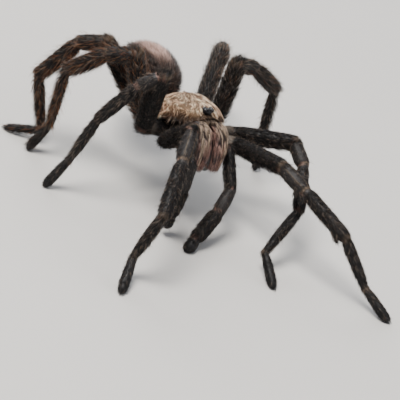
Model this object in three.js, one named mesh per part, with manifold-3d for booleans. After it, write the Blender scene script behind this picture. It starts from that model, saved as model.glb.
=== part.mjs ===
// A male tarantula standing still, life size. Millimetres, +Z up.
// The head points along -Y, and the animal's left side is +X.

import * as THREE from "three";
import { mergeVertices } from "three/addons/utils/BufferGeometryUtils.js";
import Module from "manifold-3d";

const wasm = await Module();
wasm.setup();

// ---------------------------------------------------------------- driving sizes

// The trunk's frame: its centre stands this high, nose a little up and left side a little low.
const BODY_HEIGHT = 18;
const BODY_PITCH = -4;
const BODY_ROLL = 3;

// Neighbouring pieces keep this gap.
const GAP = 0.3;

const LEG_SIDES = 10;
const LEG_NAMES = ["femur", "patella", "tibia", "metatarsus", "tarsus"];
const PALP_NAMES = ["femur", "patella", "tibia", "tarsus"];

// Lengths of femur, patella, tibia, metatarsus and tarsus of each pair of legs.
const LEG_LENGTHS = {
  1: [16.0, 7.5, 13.1, 12.0, 7.3],
  2: [14.1, 6.2, 11.2, 12.1, 7.6],
  3: [13.8, 6.4, 10.8, 13.6, 7.8],
  4: [15.6, 6.8, 12.7, 13.4, 7.8],
};

// Half width of each segment at its thickest, coat included.
const LEG_RADII = {
  1: [2.0, 1.95, 1.75, 1.5, 1.35],
  2: [1.95, 1.85, 1.65, 1.4, 1.3],
  3: [1.95, 1.85, 1.7, 1.3, 1.15],
  4: [1.95, 1.85, 1.7, 1.25, 1.15],
};

const PALP_LENGTHS = [9.4, 6.1, 7.4, 2.3];
const PALP_RADII = [1.45, 1.7, 1.85, 1.6];

// Where each leg leaves the trunk, in the trunk's frame, and how it stands: the heading of the
// leg's plane in degrees from +X, the lean of that plane, the sideways bend past the patella,
// and each segment's slope. Where the last slope is left out, it follows from the ground.
const STANCE = {
  leg_left_1: {
    pair: 1, base: [8.9, -7.0, -1.5],
    heading: -76, lean: -18, bend: 3,
    slopes: [14, -14, -22, -56],
  },
  leg_left_2: {
    pair: 2, base: [10.8, -2.6, -1.1],
    heading: -62, lean: 53, bend: 2,
    slopes: [22, -37, -60, -92],
  },
  leg_left_3: {
    pair: 3, base: [9.9, 3.4, -0.5],
    heading: 14, lean: -1, bend: -5,
    slopes: [86, -16, -38, -87],
  },
  leg_left_4: {
    pair: 4, base: [8.4, 8.1, 0.4],
    heading: 53, lean: -2, bend: -1,
    slopes: [29, -18, -36, -69],
  },
  leg_right_1: {
    pair: 1, base: [-9.0, -7.0, -1.2],
    heading: 245, lean: 17, bend: -1,
    slopes: [41, -34, -37, -94],
  },
  leg_right_2: {
    pair: 2, base: [-11.7, -1.9, -0.7],
    heading: 175, lean: 7, bend: -8,
    slopes: [92, -34, -58, -74],
  },
  leg_right_3: {
    pair: 3, base: [-9.7, 2.8, -0.4],
    heading: 138, lean: -5, bend: -10,
    slopes: [69, -18, -42, -89],
  },
  leg_right_4: {
    pair: 4, base: [-8.2, 7.6, -0.6],
    heading: 134, lean: -2, bend: 1,
    slopes: [49, -21, -57, -107],
  },
};
const PALP_STANCE = {
  palp_left: {
    base: [6.1, -9.6, -1.3],
    heading: -30, lean: 48, bend: 0,
    slopes: [-76, -107, -117, -113],
  },
  palp_right: {
    base: [-6.1, -9.6, -1.3],
    heading: 253, lean: 3, bend: 0,
    slopes: [9, -85, -103, -100],
  },
};

// The middle of a rounded foot tip stands this share of its radius high, so that its underside
// is a small flat.
const FOOT_SHARE = 0.72;

// Each segment's outline along its length: [fraction, share of the half width].
const OUTLINES = {
  femur: [[0, 0.74], [0.14, 0.9], [0.42, 1.0], [0.8, 0.97], [1, 0.88]],
  patella: [[0, 0.84], [0.3, 1.0], [0.75, 0.98], [1, 0.88]],
  tibia: [[0, 0.84], [0.2, 0.98], [0.6, 1.0], [1, 0.86]],
  metatarsus: [[0, 0.86], [0.3, 1.0], [0.65, 0.94], [1, 0.68]],
  tarsus: [[0, 0.72], [0.3, 0.96], [0.7, 1.0]],
};

// Height over width of each segment's section.
const DEPTHS = { femur: 1.12, patella: 1.0, tibia: 1.04, metatarsus: 1.0, tarsus: 0.94 };

// The spur under the far end of each first tibia, which only the male carries: how far its root
// and its tip lie behind the segment's end, below its middle and inward.
const SPUR = { radius: 0.7, root: [3.4, 1.0, 0.3], tip: [0.5, 3.3, 0.6] };

// The carapace, from its middle: front and rear reach, half widths and heights.
const SHELL = {
  front: 8.4,
  rear: 8.3,
  halfWidth: 7.8,
  frontHalfWidth: 4.3,
  rimSide: 1.9,
  rimFront: 3.5,
  rimRear: 1.6,
  clypeusArch: 1.9,
  rimDepth: 0.7,
  crown: 6.4,
  floor: 1.2,
  squareness: 0.62,
};

const ABDOMEN = { centre: [0, 19.4, 2.4], radii: [7.2, 10.1, 6.6], rearFullness: 0.12 };
const PEDICEL = { from: [0, 5, -1.4], to: [0, 10.5, 0.2], radius: 1.2 };
const STERNUM = { centre: [0, -0.6, -2.2], radii: [4.6, 6.6, 2.4] };
const COXA_RADIUS = 1.95;

const TUBERCLE = { centre: [0, -6.35, 5.98], radii: [1.2, 0.95, 0.8] };
const EYES = [
  { place: [0.42, -6.98, 6.81], radius: 0.3 },
  { place: [0.94, -6.88, 6.61], radius: 0.33 },
  { place: [1.04, -6.2, 6.63], radius: 0.3 },
  { place: [0.7, -6.1, 6.87], radius: 0.24 },
];
const EYE_MOUND = { centre: [0.8, -6.56, 6.69], radii: [0.5, 0.66, 0.36] };

// The chelicera's middle line in its own upright plane: [reach forward, height].
const CHELICERA = {
  side: 2.06,
  halfWidth: 1.9,
  fullHeight: 2.2,
  line: [[7.4, 2.0], [11.5, 3.3], [11.1, -5.0]],
  halfHeights: [2.3, 2.55, 2.65, 2.55, 2.35, 2.1, 1.7],
  squareness: 0.75,
};
const FANG = { side: 2.0, line: [[9.4, -6.0], [9.0, -7.9], [6.2, -6.6]], radii: [0.7, 0.58, 0.4, 0.2] };

const SPINNERET = { base: [1.3, 29.3, 0.6], tip: [1.8, 33.6, 1.7], radii: [0.75, 0.62, 0.42] };

// ---------------------------------------------------------------- finishes

function finish(color, roughness) {
  return new THREE.MeshStandardMaterial({ color, roughness, metalness: 0 });
}

const FINISHES = {
  carapace: finish(0xb59a80, 0.85),
  trunk: finish(0x3a302a, 0.9),
  abdomen: finish(0x6b5850, 0.95),
  chelicera: finish(0x8d7566, 0.9),
  claw: finish(0x18120f, 0.25),
  eye: finish(0x0c0d10, 0.1),
  tubercle: finish(0x2b2a2c, 0.5),
  leg: finish(0x362d28, 0.9),
};

// ---------------------------------------------------------------- small helpers

const radians = THREE.MathUtils.degToRad;
const X_AXIS = new THREE.Vector3(1, 0, 0);
const Z_AXIS = new THREE.Vector3(0, 0, 1);

function vector([x, y, z]) {
  return new THREE.Vector3(x, y, z);
}

// A closed body from rings of points, with a point in the middle of each end.
function loft(rings, startPoint, endPoint) {
  const count = rings[0].length;
  const points = rings.flat();
  const start = points.length;
  points.push(startPoint, endPoint);
  const index = [];
  for (let i = 0; i < count; i += 1) {
    const j = (i + 1) % count;
    index.push(start, j, i);
    for (let ring = 0; ring + 1 < rings.length; ring += 1) {
      const a = ring * count;
      const b = a + count;
      index.push(a + i, a + j, b + j, a + i, b + j, b + i);
    }
    const last = (rings.length - 1) * count;
    index.push(start + 1, last + i, last + j);
  }
  const geometry = new THREE.BufferGeometry().setFromPoints(points);
  geometry.setIndex(index);
  return geometry;
}

function ball(centre, radii, across = 20, up = 12) {
  const sphere = new THREE.SphereGeometry(1, across, up);
  sphere.deleteAttribute("normal");
  sphere.deleteAttribute("uv");
  const geometry = mergeVertices(sphere);
  geometry.rotateX(Math.PI / 2);
  geometry.scale(...radii);
  geometry.translate(...centre);
  return geometry;
}

// A tapering rod along a line of points, with an oval section at each, squarer for a lower power.
function rod(points, halfWidths, halfHeights, sides, across, power = 1) {
  const rounded = (value) => Math.sign(value) * Math.abs(value) ** power;
  const rings = points.map((point, k) => {
    const before = points[Math.max(0, k - 1)];
    const after = points[Math.min(points.length - 1, k + 1)];
    const ahead = after.clone().sub(before).normalize();
    const up = across.clone().cross(ahead).normalize();
    return Array.from({ length: sides }, (_, i) => {
      const angle = (2 * Math.PI * i) / sides;
      return point
        .clone()
        .addScaledVector(across, halfWidths[k] * rounded(Math.cos(angle)))
        .addScaledVector(up, -halfHeights[k] * rounded(Math.sin(angle)));
    });
  });
  return loft(rings, points[0], points[points.length - 1]);
}

function curve(line, side, steps) {
  const [a, b, c] = line.map(([reach, height]) => new THREE.Vector3(side, -reach, height));
  return new THREE.QuadraticBezierCurve3(a, b, c).getPoints(steps);
}

function solid(geometry) {
  const vertProperties = new Float32Array(geometry.attributes.position.array);
  const triVerts = new Uint32Array(geometry.index.array);
  return new wasm.Manifold(new wasm.Mesh({ numProp: 3, vertProperties, triVerts }));
}

function geometryOf(manifold) {
  const mesh = manifold.getMesh();
  const geometry = new THREE.BufferGeometry();
  geometry.setAttribute("position", new THREE.BufferAttribute(mesh.vertProperties, 3));
  geometry.setIndex(new THREE.BufferAttribute(mesh.triVerts, 1));
  return geometry;
}

// The same body, larger by a margin all round its middle.
function grown(geometry, margin) {
  geometry.computeBoundingBox();
  const middle = geometry.boundingBox.getCenter(new THREE.Vector3());
  const size = geometry.boundingBox.getSize(new THREE.Vector3());
  const bigger = geometry.clone();
  bigger.translate(-middle.x, -middle.y, -middle.z);
  bigger.scale(...size.toArray().map((side) => (side + 2 * margin) / side));
  bigger.translate(middle.x, middle.y, middle.z);
  return bigger;
}

// ---------------------------------------------------------------- the trunk and what it carries

// Share of the shell's reach forward or back, and of its width, at an angle round its rim.
function shellRim(angle) {
  const sideways = Math.sin(angle);
  const forward = Math.cos(angle);
  const ahead = Math.max(0, forward);
  const cornerShare = Math.sign(sideways) * Math.min(Math.abs(sideways) ** SHELL.squareness, 1);
  const headShare = THREE.MathUtils.smoothstep(ahead, 0.25, 0.95);
  const x = THREE.MathUtils.lerp(SHELL.halfWidth * sideways, SHELL.frontHalfWidth * cornerShare, headShare);
  const reach = forward > 0 ? SHELL.front * Math.min(1, forward * 1.06) : SHELL.rear * forward;
  const sideShare = 1 - Math.abs(forward);
  const end = forward > 0 ? SHELL.rimFront : SHELL.rimRear;
  const arch = SHELL.clypeusArch * headShare * (1 - Math.abs(cornerShare) ** 2);
  const z = THREE.MathUtils.lerp(end, SHELL.rimSide, sideShare) + arch;
  return new THREE.Vector3(x, -reach, z);
}

// Height of the shell above its rim: a raised head, and a lower back with a shallow pit.
function shellCrown(y) {
  const head = Math.exp(-(((y + 4.2) / 4.2) ** 2));
  const back = Math.exp(-(((y - 3.0) / 4.6) ** 2));
  return Math.min(SHELL.crown, 2.2 + 3.9 * head + 3.9 * back);
}

function carapace() {
  const sides = 32;
  const shares = [1, 0.97, 0.88, 0.72, 0.5, 0.25];
  const ringAt = (share, lift) =>
    Array.from({ length: sides }, (_, i) => {
      const rim = shellRim((2 * Math.PI * i) / sides);
      return new THREE.Vector3(rim.x * share, rim.y * share, lift(rim, share));
    });
  const top = (rim, share) => {
    const rise = (1 - share ** 2.6) ** 0.8;
    return THREE.MathUtils.lerp(rim.z, Math.max(rim.z, shellCrown(rim.y * share)), rise);
  };
  const under = (rim, share) => THREE.MathUtils.lerp(SHELL.floor, rim.z - SHELL.rimDepth, share);
  const rings = [ringAt(0.5, under), ringAt(0.97, under), ...shares.map((share) => ringAt(share, top))];
  const middle = [SHELL.floor, shellCrown(0)].map((z) => new THREE.Vector3(0, 0, z));
  return loft(rings, ...middle);
}

function chelicera(side) {
  const { halfWidth, fullHeight, halfHeights, squareness } = CHELICERA;
  const widths = halfHeights.map((height) => halfWidth * Math.min(1, height / fullHeight));
  const points = curve(CHELICERA.line, side * CHELICERA.side, halfHeights.length - 1);
  return rod(points, widths, halfHeights, 16, X_AXIS, squareness);
}

function fang(side) {
  const points = curve(FANG.line, side * FANG.side, FANG.radii.length - 1);
  return rod(points, FANG.radii, FANG.radii, 8, X_AXIS);
}

function spinneret(side) {
  const base = vector(SPINNERET.base);
  const tip = vector(SPINNERET.tip);
  const points = SPINNERET.radii.map((_, k) => base.clone().lerp(tip, k / (SPINNERET.radii.length - 1)));
  points.forEach((point) => point.setX(point.x * side));
  return rod(points, SPINNERET.radii, SPINNERET.radii, 8, X_AXIS);
}

function abdomen() {
  const geometry = ball(ABDOMEN.centre, ABDOMEN.radii, 20, 14);
  const place = geometry.attributes.position;
  for (let i = 0; i < place.count; i += 1) {
    const back = (place.getY(i) - ABDOMEN.centre[1]) / ABDOMEN.radii[1];
    const swell = 1 + ABDOMEN.rearFullness * (back - back ** 3);
    place.setX(i, place.getX(i) * swell);
    place.setZ(i, ABDOMEN.centre[2] + (place.getZ(i) - ABDOMEN.centre[2]) * swell);
  }
  return geometry;
}

function tubercle(shell) {
  const bump = solid(ball(TUBERCLE.centre, TUBERCLE.radii, 16, 10));
  return geometryOf(bump.subtract(solid(grown(shell, GAP / 2))));
}

function eyeCluster(side, bump) {
  const mirrored = ([x, y, z]) => [x * side, y, z];
  let cluster = solid(ball(mirrored(EYE_MOUND.centre), EYE_MOUND.radii, 10, 5));
  for (const eye of EYES) {
    cluster = cluster.add(solid(ball(mirrored(eye.place), [eye.radius, eye.radius, eye.radius], 7, 5)));
  }
  return geometryOf(cluster.subtract(solid(grown(bump, GAP / 2))));
}

// ---------------------------------------------------------------- legs and palps

const trunkTurn = new THREE.Euler(radians(BODY_PITCH), radians(BODY_ROLL), 0);
const trunkPlace = new THREE.Vector3(0, 0, BODY_HEIGHT);

function fromTrunk(point) {
  return vector(point).applyEuler(trunkTurn).add(trunkPlace);
}

// A limb's joints from its stance, and the sideways direction of each of its segments.
function limbLine(stance, lengths, footHeight) {
  const heading = radians(stance.heading);
  const lean = radians(stance.lean);
  const out = new THREE.Vector3(Math.cos(heading), Math.sin(heading), 0);
  const side = new THREE.Vector3(-out.y, out.x, 0);
  const up = side.multiplyScalar(Math.sin(lean)).addScaledVector(Z_AXIS, Math.cos(lean));
  const bentOut = out.clone().applyAxisAngle(up, radians(stance.bend));
  const joints = [fromTrunk(stance.base)];
  const across = [];
  lengths.forEach((length, k) => {
    const from = joints[k];
    const away = k < 2 ? out : bentOut;
    const reach = Math.hypot(away.z, up.z);
    const toGround = Math.asin((footHeight - from.z) / (length * reach)) - Math.atan2(away.z, up.z);
    const slope = k < stance.slopes.length ? radians(stance.slopes[k]) : toGround;
    const ahead = away.clone().multiplyScalar(Math.cos(slope)).addScaledVector(up, Math.sin(slope));
    joints.push(from.clone().addScaledVector(ahead, length));
    across.push(up.clone().cross(away));
  });
  return { joints, across };
}

// One segment between two slanted end planes, in its own frame: +X ahead, +Y across, +Z up.
function segmentRings(length, startPlane, endPlane, radius, depth, outline) {
  return outline.map(([fraction, share]) =>
    Array.from({ length: LEG_SIDES }, (_, i) => {
      const angle = (2 * Math.PI * (i + 0.5)) / LEG_SIDES;
      const y = radius * share * Math.cos(angle);
      const z = radius * share * depth * Math.sin(angle);
      const start = (GAP / 2 - y * startPlane.y - z * startPlane.z) / startPlane.x;
      const end = length - (endPlane.cut + y * endPlane.y + z * endPlane.z) / endPlane.x;
      return new THREE.Vector3(THREE.MathUtils.lerp(start, end, fraction), y, z);
    }),
  );
}

const SQUARE_END = { x: 1, y: 0, z: 0, cut: 0 };

function frameOf(ahead, across) {
  const up = ahead.clone().cross(across);
  return new THREE.Matrix4().makeBasis(ahead, across, up);
}

// The plane halfway through a bend, seen from a segment's own frame.
function bendPlane(ahead, other, toLocal) {
  const { x, y, z } = ahead.clone().add(other).normalize().transformDirection(toLocal);
  return { x, y, z, cut: GAP / 2 };
}

// A rounded tip past the last joint.
function tipRings(length, radius, depth) {
  return [0, 30, 60].map((degrees) => {
    const reach = length + radius * Math.sin(radians(degrees));
    const share = Math.cos(radians(degrees));
    return Array.from({ length: LEG_SIDES }, (_, i) => {
      const angle = (2 * Math.PI * (i + 0.5)) / LEG_SIDES;
      const across = radius * share * Math.cos(angle);
      return new THREE.Vector3(reach, across, radius * share * depth * Math.sin(angle));
    });
  });
}

function spur(length, inward) {
  const place = ([behind, below, aside]) => new THREE.Vector3(length - behind, inward * aside, -below);
  const root = place(SPUR.root);
  const tip = place(SPUR.tip);
  const points = [0, 0.5, 0.85, 1].map((t) => root.clone().lerp(tip, t));
  const radii = [1, 0.9, 0.7, 0.35].map((share) => share * SPUR.radius);
  return rod(points, radii, radii, 8, new THREE.Vector3(0, 1, 0));
}

// What dips under the ground is pressed flat on it.
function pressFlat(mesh) {
  mesh.updateMatrix();
  const toLocal = mesh.matrix.clone().invert();
  const place = mesh.geometry.attributes.position;
  const point = new THREE.Vector3();
  for (let i = 0; i < place.count; i += 1) {
    point.fromBufferAttribute(place, i).applyMatrix4(mesh.matrix);
    if (point.z < 0) {
      point.setZ(0).applyMatrix4(toLocal);
      place.setXYZ(i, point.x, point.y, point.z);
    }
  }
}

function segment(name, kind, line, k, radius) {
  const { joints, across } = line;
  const ahead = joints[k + 1].clone().sub(joints[k]).normalize();
  const frame = frameOf(ahead, across[k]);
  const toLocal = frame.clone().invert();
  const length = joints[k].distanceTo(joints[k + 1]);
  const before = k > 0 ? joints[k].clone().sub(joints[k - 1]).normalize() : line.rootAhead;
  const last = k + 2 === joints.length;
  const startPlane = bendPlane(ahead, before, toLocal);
  const endPlane = last
    ? SQUARE_END
    : bendPlane(ahead, joints[k + 2].clone().sub(joints[k + 1]).normalize(), toLocal);
  const depth = DEPTHS[kind];
  const rings = segmentRings(length, startPlane, endPlane, radius, depth, OUTLINES[kind]);
  if (last) rings.push(...tipRings(length, radius, depth));
  const middle = (ring) =>
    ring.reduce((sum, point) => sum.add(point), new THREE.Vector3()).divideScalar(ring.length);
  const end = last ? new THREE.Vector3(length + radius, 0, 0) : middle(rings[rings.length - 1]);
  let geometry = loft(rings, middle(rings[0]), end);
  if (line.hasSpur && kind === "tibia") {
    const prong = spur(length, -Math.sign(joints[0].x));
    geometry = geometryOf(solid(geometry).add(solid(prong)));
  }
  const mesh = new THREE.Mesh(geometry, FINISHES.leg);
  mesh.name = name;
  mesh.quaternion.setFromRotationMatrix(frame);
  mesh.position.copy(joints[k]);
  if (last) pressFlat(mesh);
  return mesh;
}

// The coxa's own direction, from under the shell out to the limb's root.
function coxaLine(base) {
  const inner = [base[0] * 0.28, base[1] * 0.5, base[2] - 0.9];
  return { from: fromTrunk(inner), to: fromTrunk(base) };
}

function limb(name, stance, lengths, radii, kinds) {
  const line = limbLine(stance, lengths, FOOT_SHARE * radii[radii.length - 1]);
  const coxa = coxaLine(stance.base);
  line.rootAhead = coxa.to.clone().sub(coxa.from).normalize();
  line.hasSpur = stance.pair === 1;
  const group = new THREE.Group();
  kinds.forEach((kind, k) => group.add(segment(`${name}_${kind}`, kind, line, k, radii[k])));
  return group;
}

// Coxae, sternum and waist in one body, with room cut for the shell, the jaws and the abdomen.
function trunk(shell, jaws, belly) {
  let body = solid(ball(STERNUM.centre, STERNUM.radii, 20, 10));
  const waist = [PEDICEL.from, PEDICEL.to].map(vector);
  const waistRadii = [PEDICEL.radius, PEDICEL.radius];
  body = body.add(solid(rod(waist, waistRadii, waistRadii, 10, X_AXIS)));
  const intoTrunk = new THREE.Matrix4()
    .compose(trunkPlace, new THREE.Quaternion().setFromEuler(trunkTurn), new THREE.Vector3(1, 1, 1))
    .invert();
  for (const [name, stance] of Object.entries({ ...STANCE, ...PALP_STANCE })) {
    const { joints } = limbLine(stance, stance.pair ? LEG_LENGTHS[stance.pair] : PALP_LENGTHS, 0);
    const { from, to } = coxaLine(stance.base);
    const ahead = to.clone().sub(from).normalize();
    const across = Z_AXIS.clone().cross(ahead).normalize();
    const frame = frameOf(ahead, across);
    const toLocal = frame.clone().invert();
    const next = joints[1].clone().sub(joints[0]).normalize();
    const radius = name.startsWith("palp") ? COXA_RADIUS * 0.78 : COXA_RADIUS;
    const outline = [[0, 0.8], [0.55, 1.0], [0.85, 0.92], [1, 0.74]];
    const endPlane = bendPlane(ahead, next, toLocal);
    const startPlane = { x: 1, y: 0, z: 0 };
    const rings = segmentRings(from.distanceTo(to), startPlane, endPlane, radius, 1, outline);
    const end = rings[rings.length - 1].reduce((sum, point) => sum.add(point), new THREE.Vector3());
    const geometry = loft(rings, new THREE.Vector3(), end.divideScalar(LEG_SIDES));
    geometry.applyMatrix4(frame.setPosition(from));
    geometry.applyMatrix4(intoTrunk);
    body = body.add(solid(geometry));
  }
  for (const neighbour of [shell, ...jaws, belly]) {
    const room = solid(grown(neighbour, GAP));
    body = body.subtract(room).subtract(room.translate(0, 0, -GAP));
  }
  const pieces = body.decompose().sort((a, b) => b.volume() - a.volume());
  return geometryOf(pieces[0]);
}

// ---------------------------------------------------------------- the whole animal

function named(name, geometry, material) {
  const mesh = new THREE.Mesh(geometry, material);
  mesh.name = name;
  return mesh;
}

function torso() {
  const group = new THREE.Group();
  group.rotation.copy(trunkTurn);
  group.position.copy(trunkPlace);
  const shell = carapace();
  const belly = abdomen();
  const roomForShell = solid(grown(shell, GAP));
  const jaws = { left: 1, right: -1 };
  const jawBody = (sign) => geometryOf(solid(chelicera(sign)).subtract(roomForShell));
  const jawBodies = Object.fromEntries(Object.entries(jaws).map(([side, sign]) => [side, jawBody(sign)]));
  const bump = tubercle(shell);
  group.add(named("carapace", shell, FINISHES.carapace));
  group.add(named("trunk", trunk(shell, Object.values(jawBodies), belly), FINISHES.trunk));
  group.add(named("abdomen", belly, FINISHES.abdomen));
  group.add(named("eye_tubercle", bump, FINISHES.tubercle));
  for (const [side, sign] of Object.entries(jaws)) {
    group.add(named(`chelicera_${side}`, jawBodies[side], FINISHES.chelicera));
    group.add(named(`fang_${side}`, fang(sign), FINISHES.claw));
    group.add(named(`spinneret_${side}`, spinneret(sign), FINISHES.abdomen));
    group.add(named(`eyes_${side}`, eyeCluster(sign, bump), FINISHES.eye));
  }
  return group;
}

function tarantula() {
  const group = new THREE.Group();
  group.add(torso());
  for (const [name, stance] of Object.entries(STANCE)) {
    group.add(limb(name, stance, LEG_LENGTHS[stance.pair], LEG_RADII[stance.pair], LEG_NAMES));
  }
  for (const [name, stance] of Object.entries(PALP_STANCE)) {
    group.add(limb(name, stance, PALP_LENGTHS, PALP_RADII, PALP_NAMES));
  }
  group.updateMatrixWorld(true);
  const middle = new THREE.Box3().setFromObject(group, true).getCenter(new THREE.Vector3());
  group.position.set(-middle.x, -middle.y, 0);
  return group;
}

export default tarantula();
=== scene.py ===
"""A male tarantula, life size and standing still: skin, shell, jaws, eyes, claws and coat.

Lengths are in millimetres while shapes are worked out, and in metres once they become meshes.
The head points along -Y, and the animal's left side is +X.
"""

import logging
import math
from collections.abc import Callable
from dataclasses import dataclass, field, fields
from enum import Enum

import bpy
import numpy as np
from mathutils import Matrix, Vector


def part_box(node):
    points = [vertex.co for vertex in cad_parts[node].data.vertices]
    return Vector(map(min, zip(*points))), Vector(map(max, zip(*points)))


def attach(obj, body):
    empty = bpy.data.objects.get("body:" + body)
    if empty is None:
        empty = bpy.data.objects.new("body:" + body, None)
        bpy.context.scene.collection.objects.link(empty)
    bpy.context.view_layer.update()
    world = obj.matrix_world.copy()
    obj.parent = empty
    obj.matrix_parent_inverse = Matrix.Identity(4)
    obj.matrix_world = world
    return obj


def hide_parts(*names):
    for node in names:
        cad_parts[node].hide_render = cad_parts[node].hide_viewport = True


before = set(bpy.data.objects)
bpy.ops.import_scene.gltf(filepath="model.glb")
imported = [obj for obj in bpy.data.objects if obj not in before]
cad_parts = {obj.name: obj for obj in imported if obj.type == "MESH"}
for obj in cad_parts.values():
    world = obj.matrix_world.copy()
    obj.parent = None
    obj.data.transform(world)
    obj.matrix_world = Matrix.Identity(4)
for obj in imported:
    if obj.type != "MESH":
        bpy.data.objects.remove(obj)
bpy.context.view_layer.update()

logging.basicConfig(level=logging.INFO, format="%(message)s")
LOG = logging.getLogger("tarantula")

MM = 0.001
SIDES = {"left": 1.0, "right": -1.0}
Array = np.ndarray


# ---------------- colours


class Tone(Enum):
    """The colours of hair, skin and horn, as they look in daylight."""

    LEG_DARK = "0d0a0a"
    # Painted backlight: the browner tone of the rear right legs, lit from behind.
    LEG_BROWN = "140f0d"
    LEG_GREY = "3b3533"
    # Painted highlight: the pale grey that some hair tips get as glints of light.
    HAIR_SILVER = "9c9189"
    BALD_STRIPE = "a0825c"
    JOINT_RING = "b59a80"
    SETA_TAN = "a87c57"
    SETA_ORANGE = "96532c"
    SETA_PALE = "c4ad98"
    MEMBRANE = "b08474"
    COXA_PALE = "a89888"
    SHELL_CREAM = "f1d3b8"
    SHELL_TAN = "cba27c"
    SHELL_PINK = "b78668"
    SHELL_SHADE = "3f2f26"
    SHELL_EDGE = "4d3a2b"
    JAW_CREAM = "dcc1a6"
    JAW_PINK = "b3877a"
    JAW_MAROON = "24100e"
    ABDOMEN_BROWN = "30231e"
    ABDOMEN_DARK = "1b1311"
    ABDOMEN_PINK = "d2b0a2"
    HORN = "0b0807"
    TUBERCLE = "151316"

    def linear(self) -> Array:
        """The colour as linear red, green and blue."""
        share = np.array([int(self.value[i : i + 2], 16) for i in (0, 2, 4)]) / 255.0
        return np.where(share <= 0.04045, share / 12.92, ((share + 0.055) / 1.055) ** 2.4)


Colours = Array | Tone


def mixed(first: Colours, second: Colours, share: Array) -> Array:
    """Blend two tones, or two lists of colours, by a share for each place.

    Args:
        first: One tone, or a linear colour for each place.
        second: The same.
        share: How much of the second, from 0 to 1.

    Returns:
        One linear colour for each place.
    """
    part = np.clip(share, 0.0, 1.0)[:, None]
    pair = [tone.linear() if isinstance(tone, Tone) else tone for tone in (first, second)]
    return pair[0] * (1.0 - part) + pair[1] * part


def ramp(value: Array, low: float, high: float) -> Array:
    """Rise smoothly from 0 at low to 1 at high."""
    part = np.clip((value - low) / (high - low), 0.0, 1.0)
    return part * part * (3.0 - 2.0 * part)


def band(value: Array, centre: float, half: float, soft: float) -> Array:
    """1 within half of the centre, falling to 0 over the soft margin."""
    return 1.0 - ramp(np.abs(value - centre), half, half + soft)


WAVES_CROSSED = 7
WAVES_FULL = 3.2
WAVE_LENGTH = 2.2


def waves(points: Array, scale: float, seed: int) -> Array:
    """Smooth patchy noise between -1 and 1, from a few crossed waves.

    Args:
        points: Places in millimetres, one row each.
        scale: The usual size of a patch, in millimetres.
        seed: Picks one pattern.

    Returns:
        One value for each place.
    """
    rng = np.random.default_rng(seed)
    total = np.zeros(len(points))
    for _ in range(WAVES_CROSSED):
        way = rng.normal(size=3)
        way *= rng.uniform(0.6, 1.7) * 2.0 * math.pi / (scale * WAVE_LENGTH) / np.linalg.norm(way)
        total += np.sin(points @ way + rng.uniform(0.0, 2.0 * math.pi))
    return np.clip(total / WAVES_FULL, -1.0, 1.0)


# ---------------- finishes


TINT = "Tint"


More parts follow.
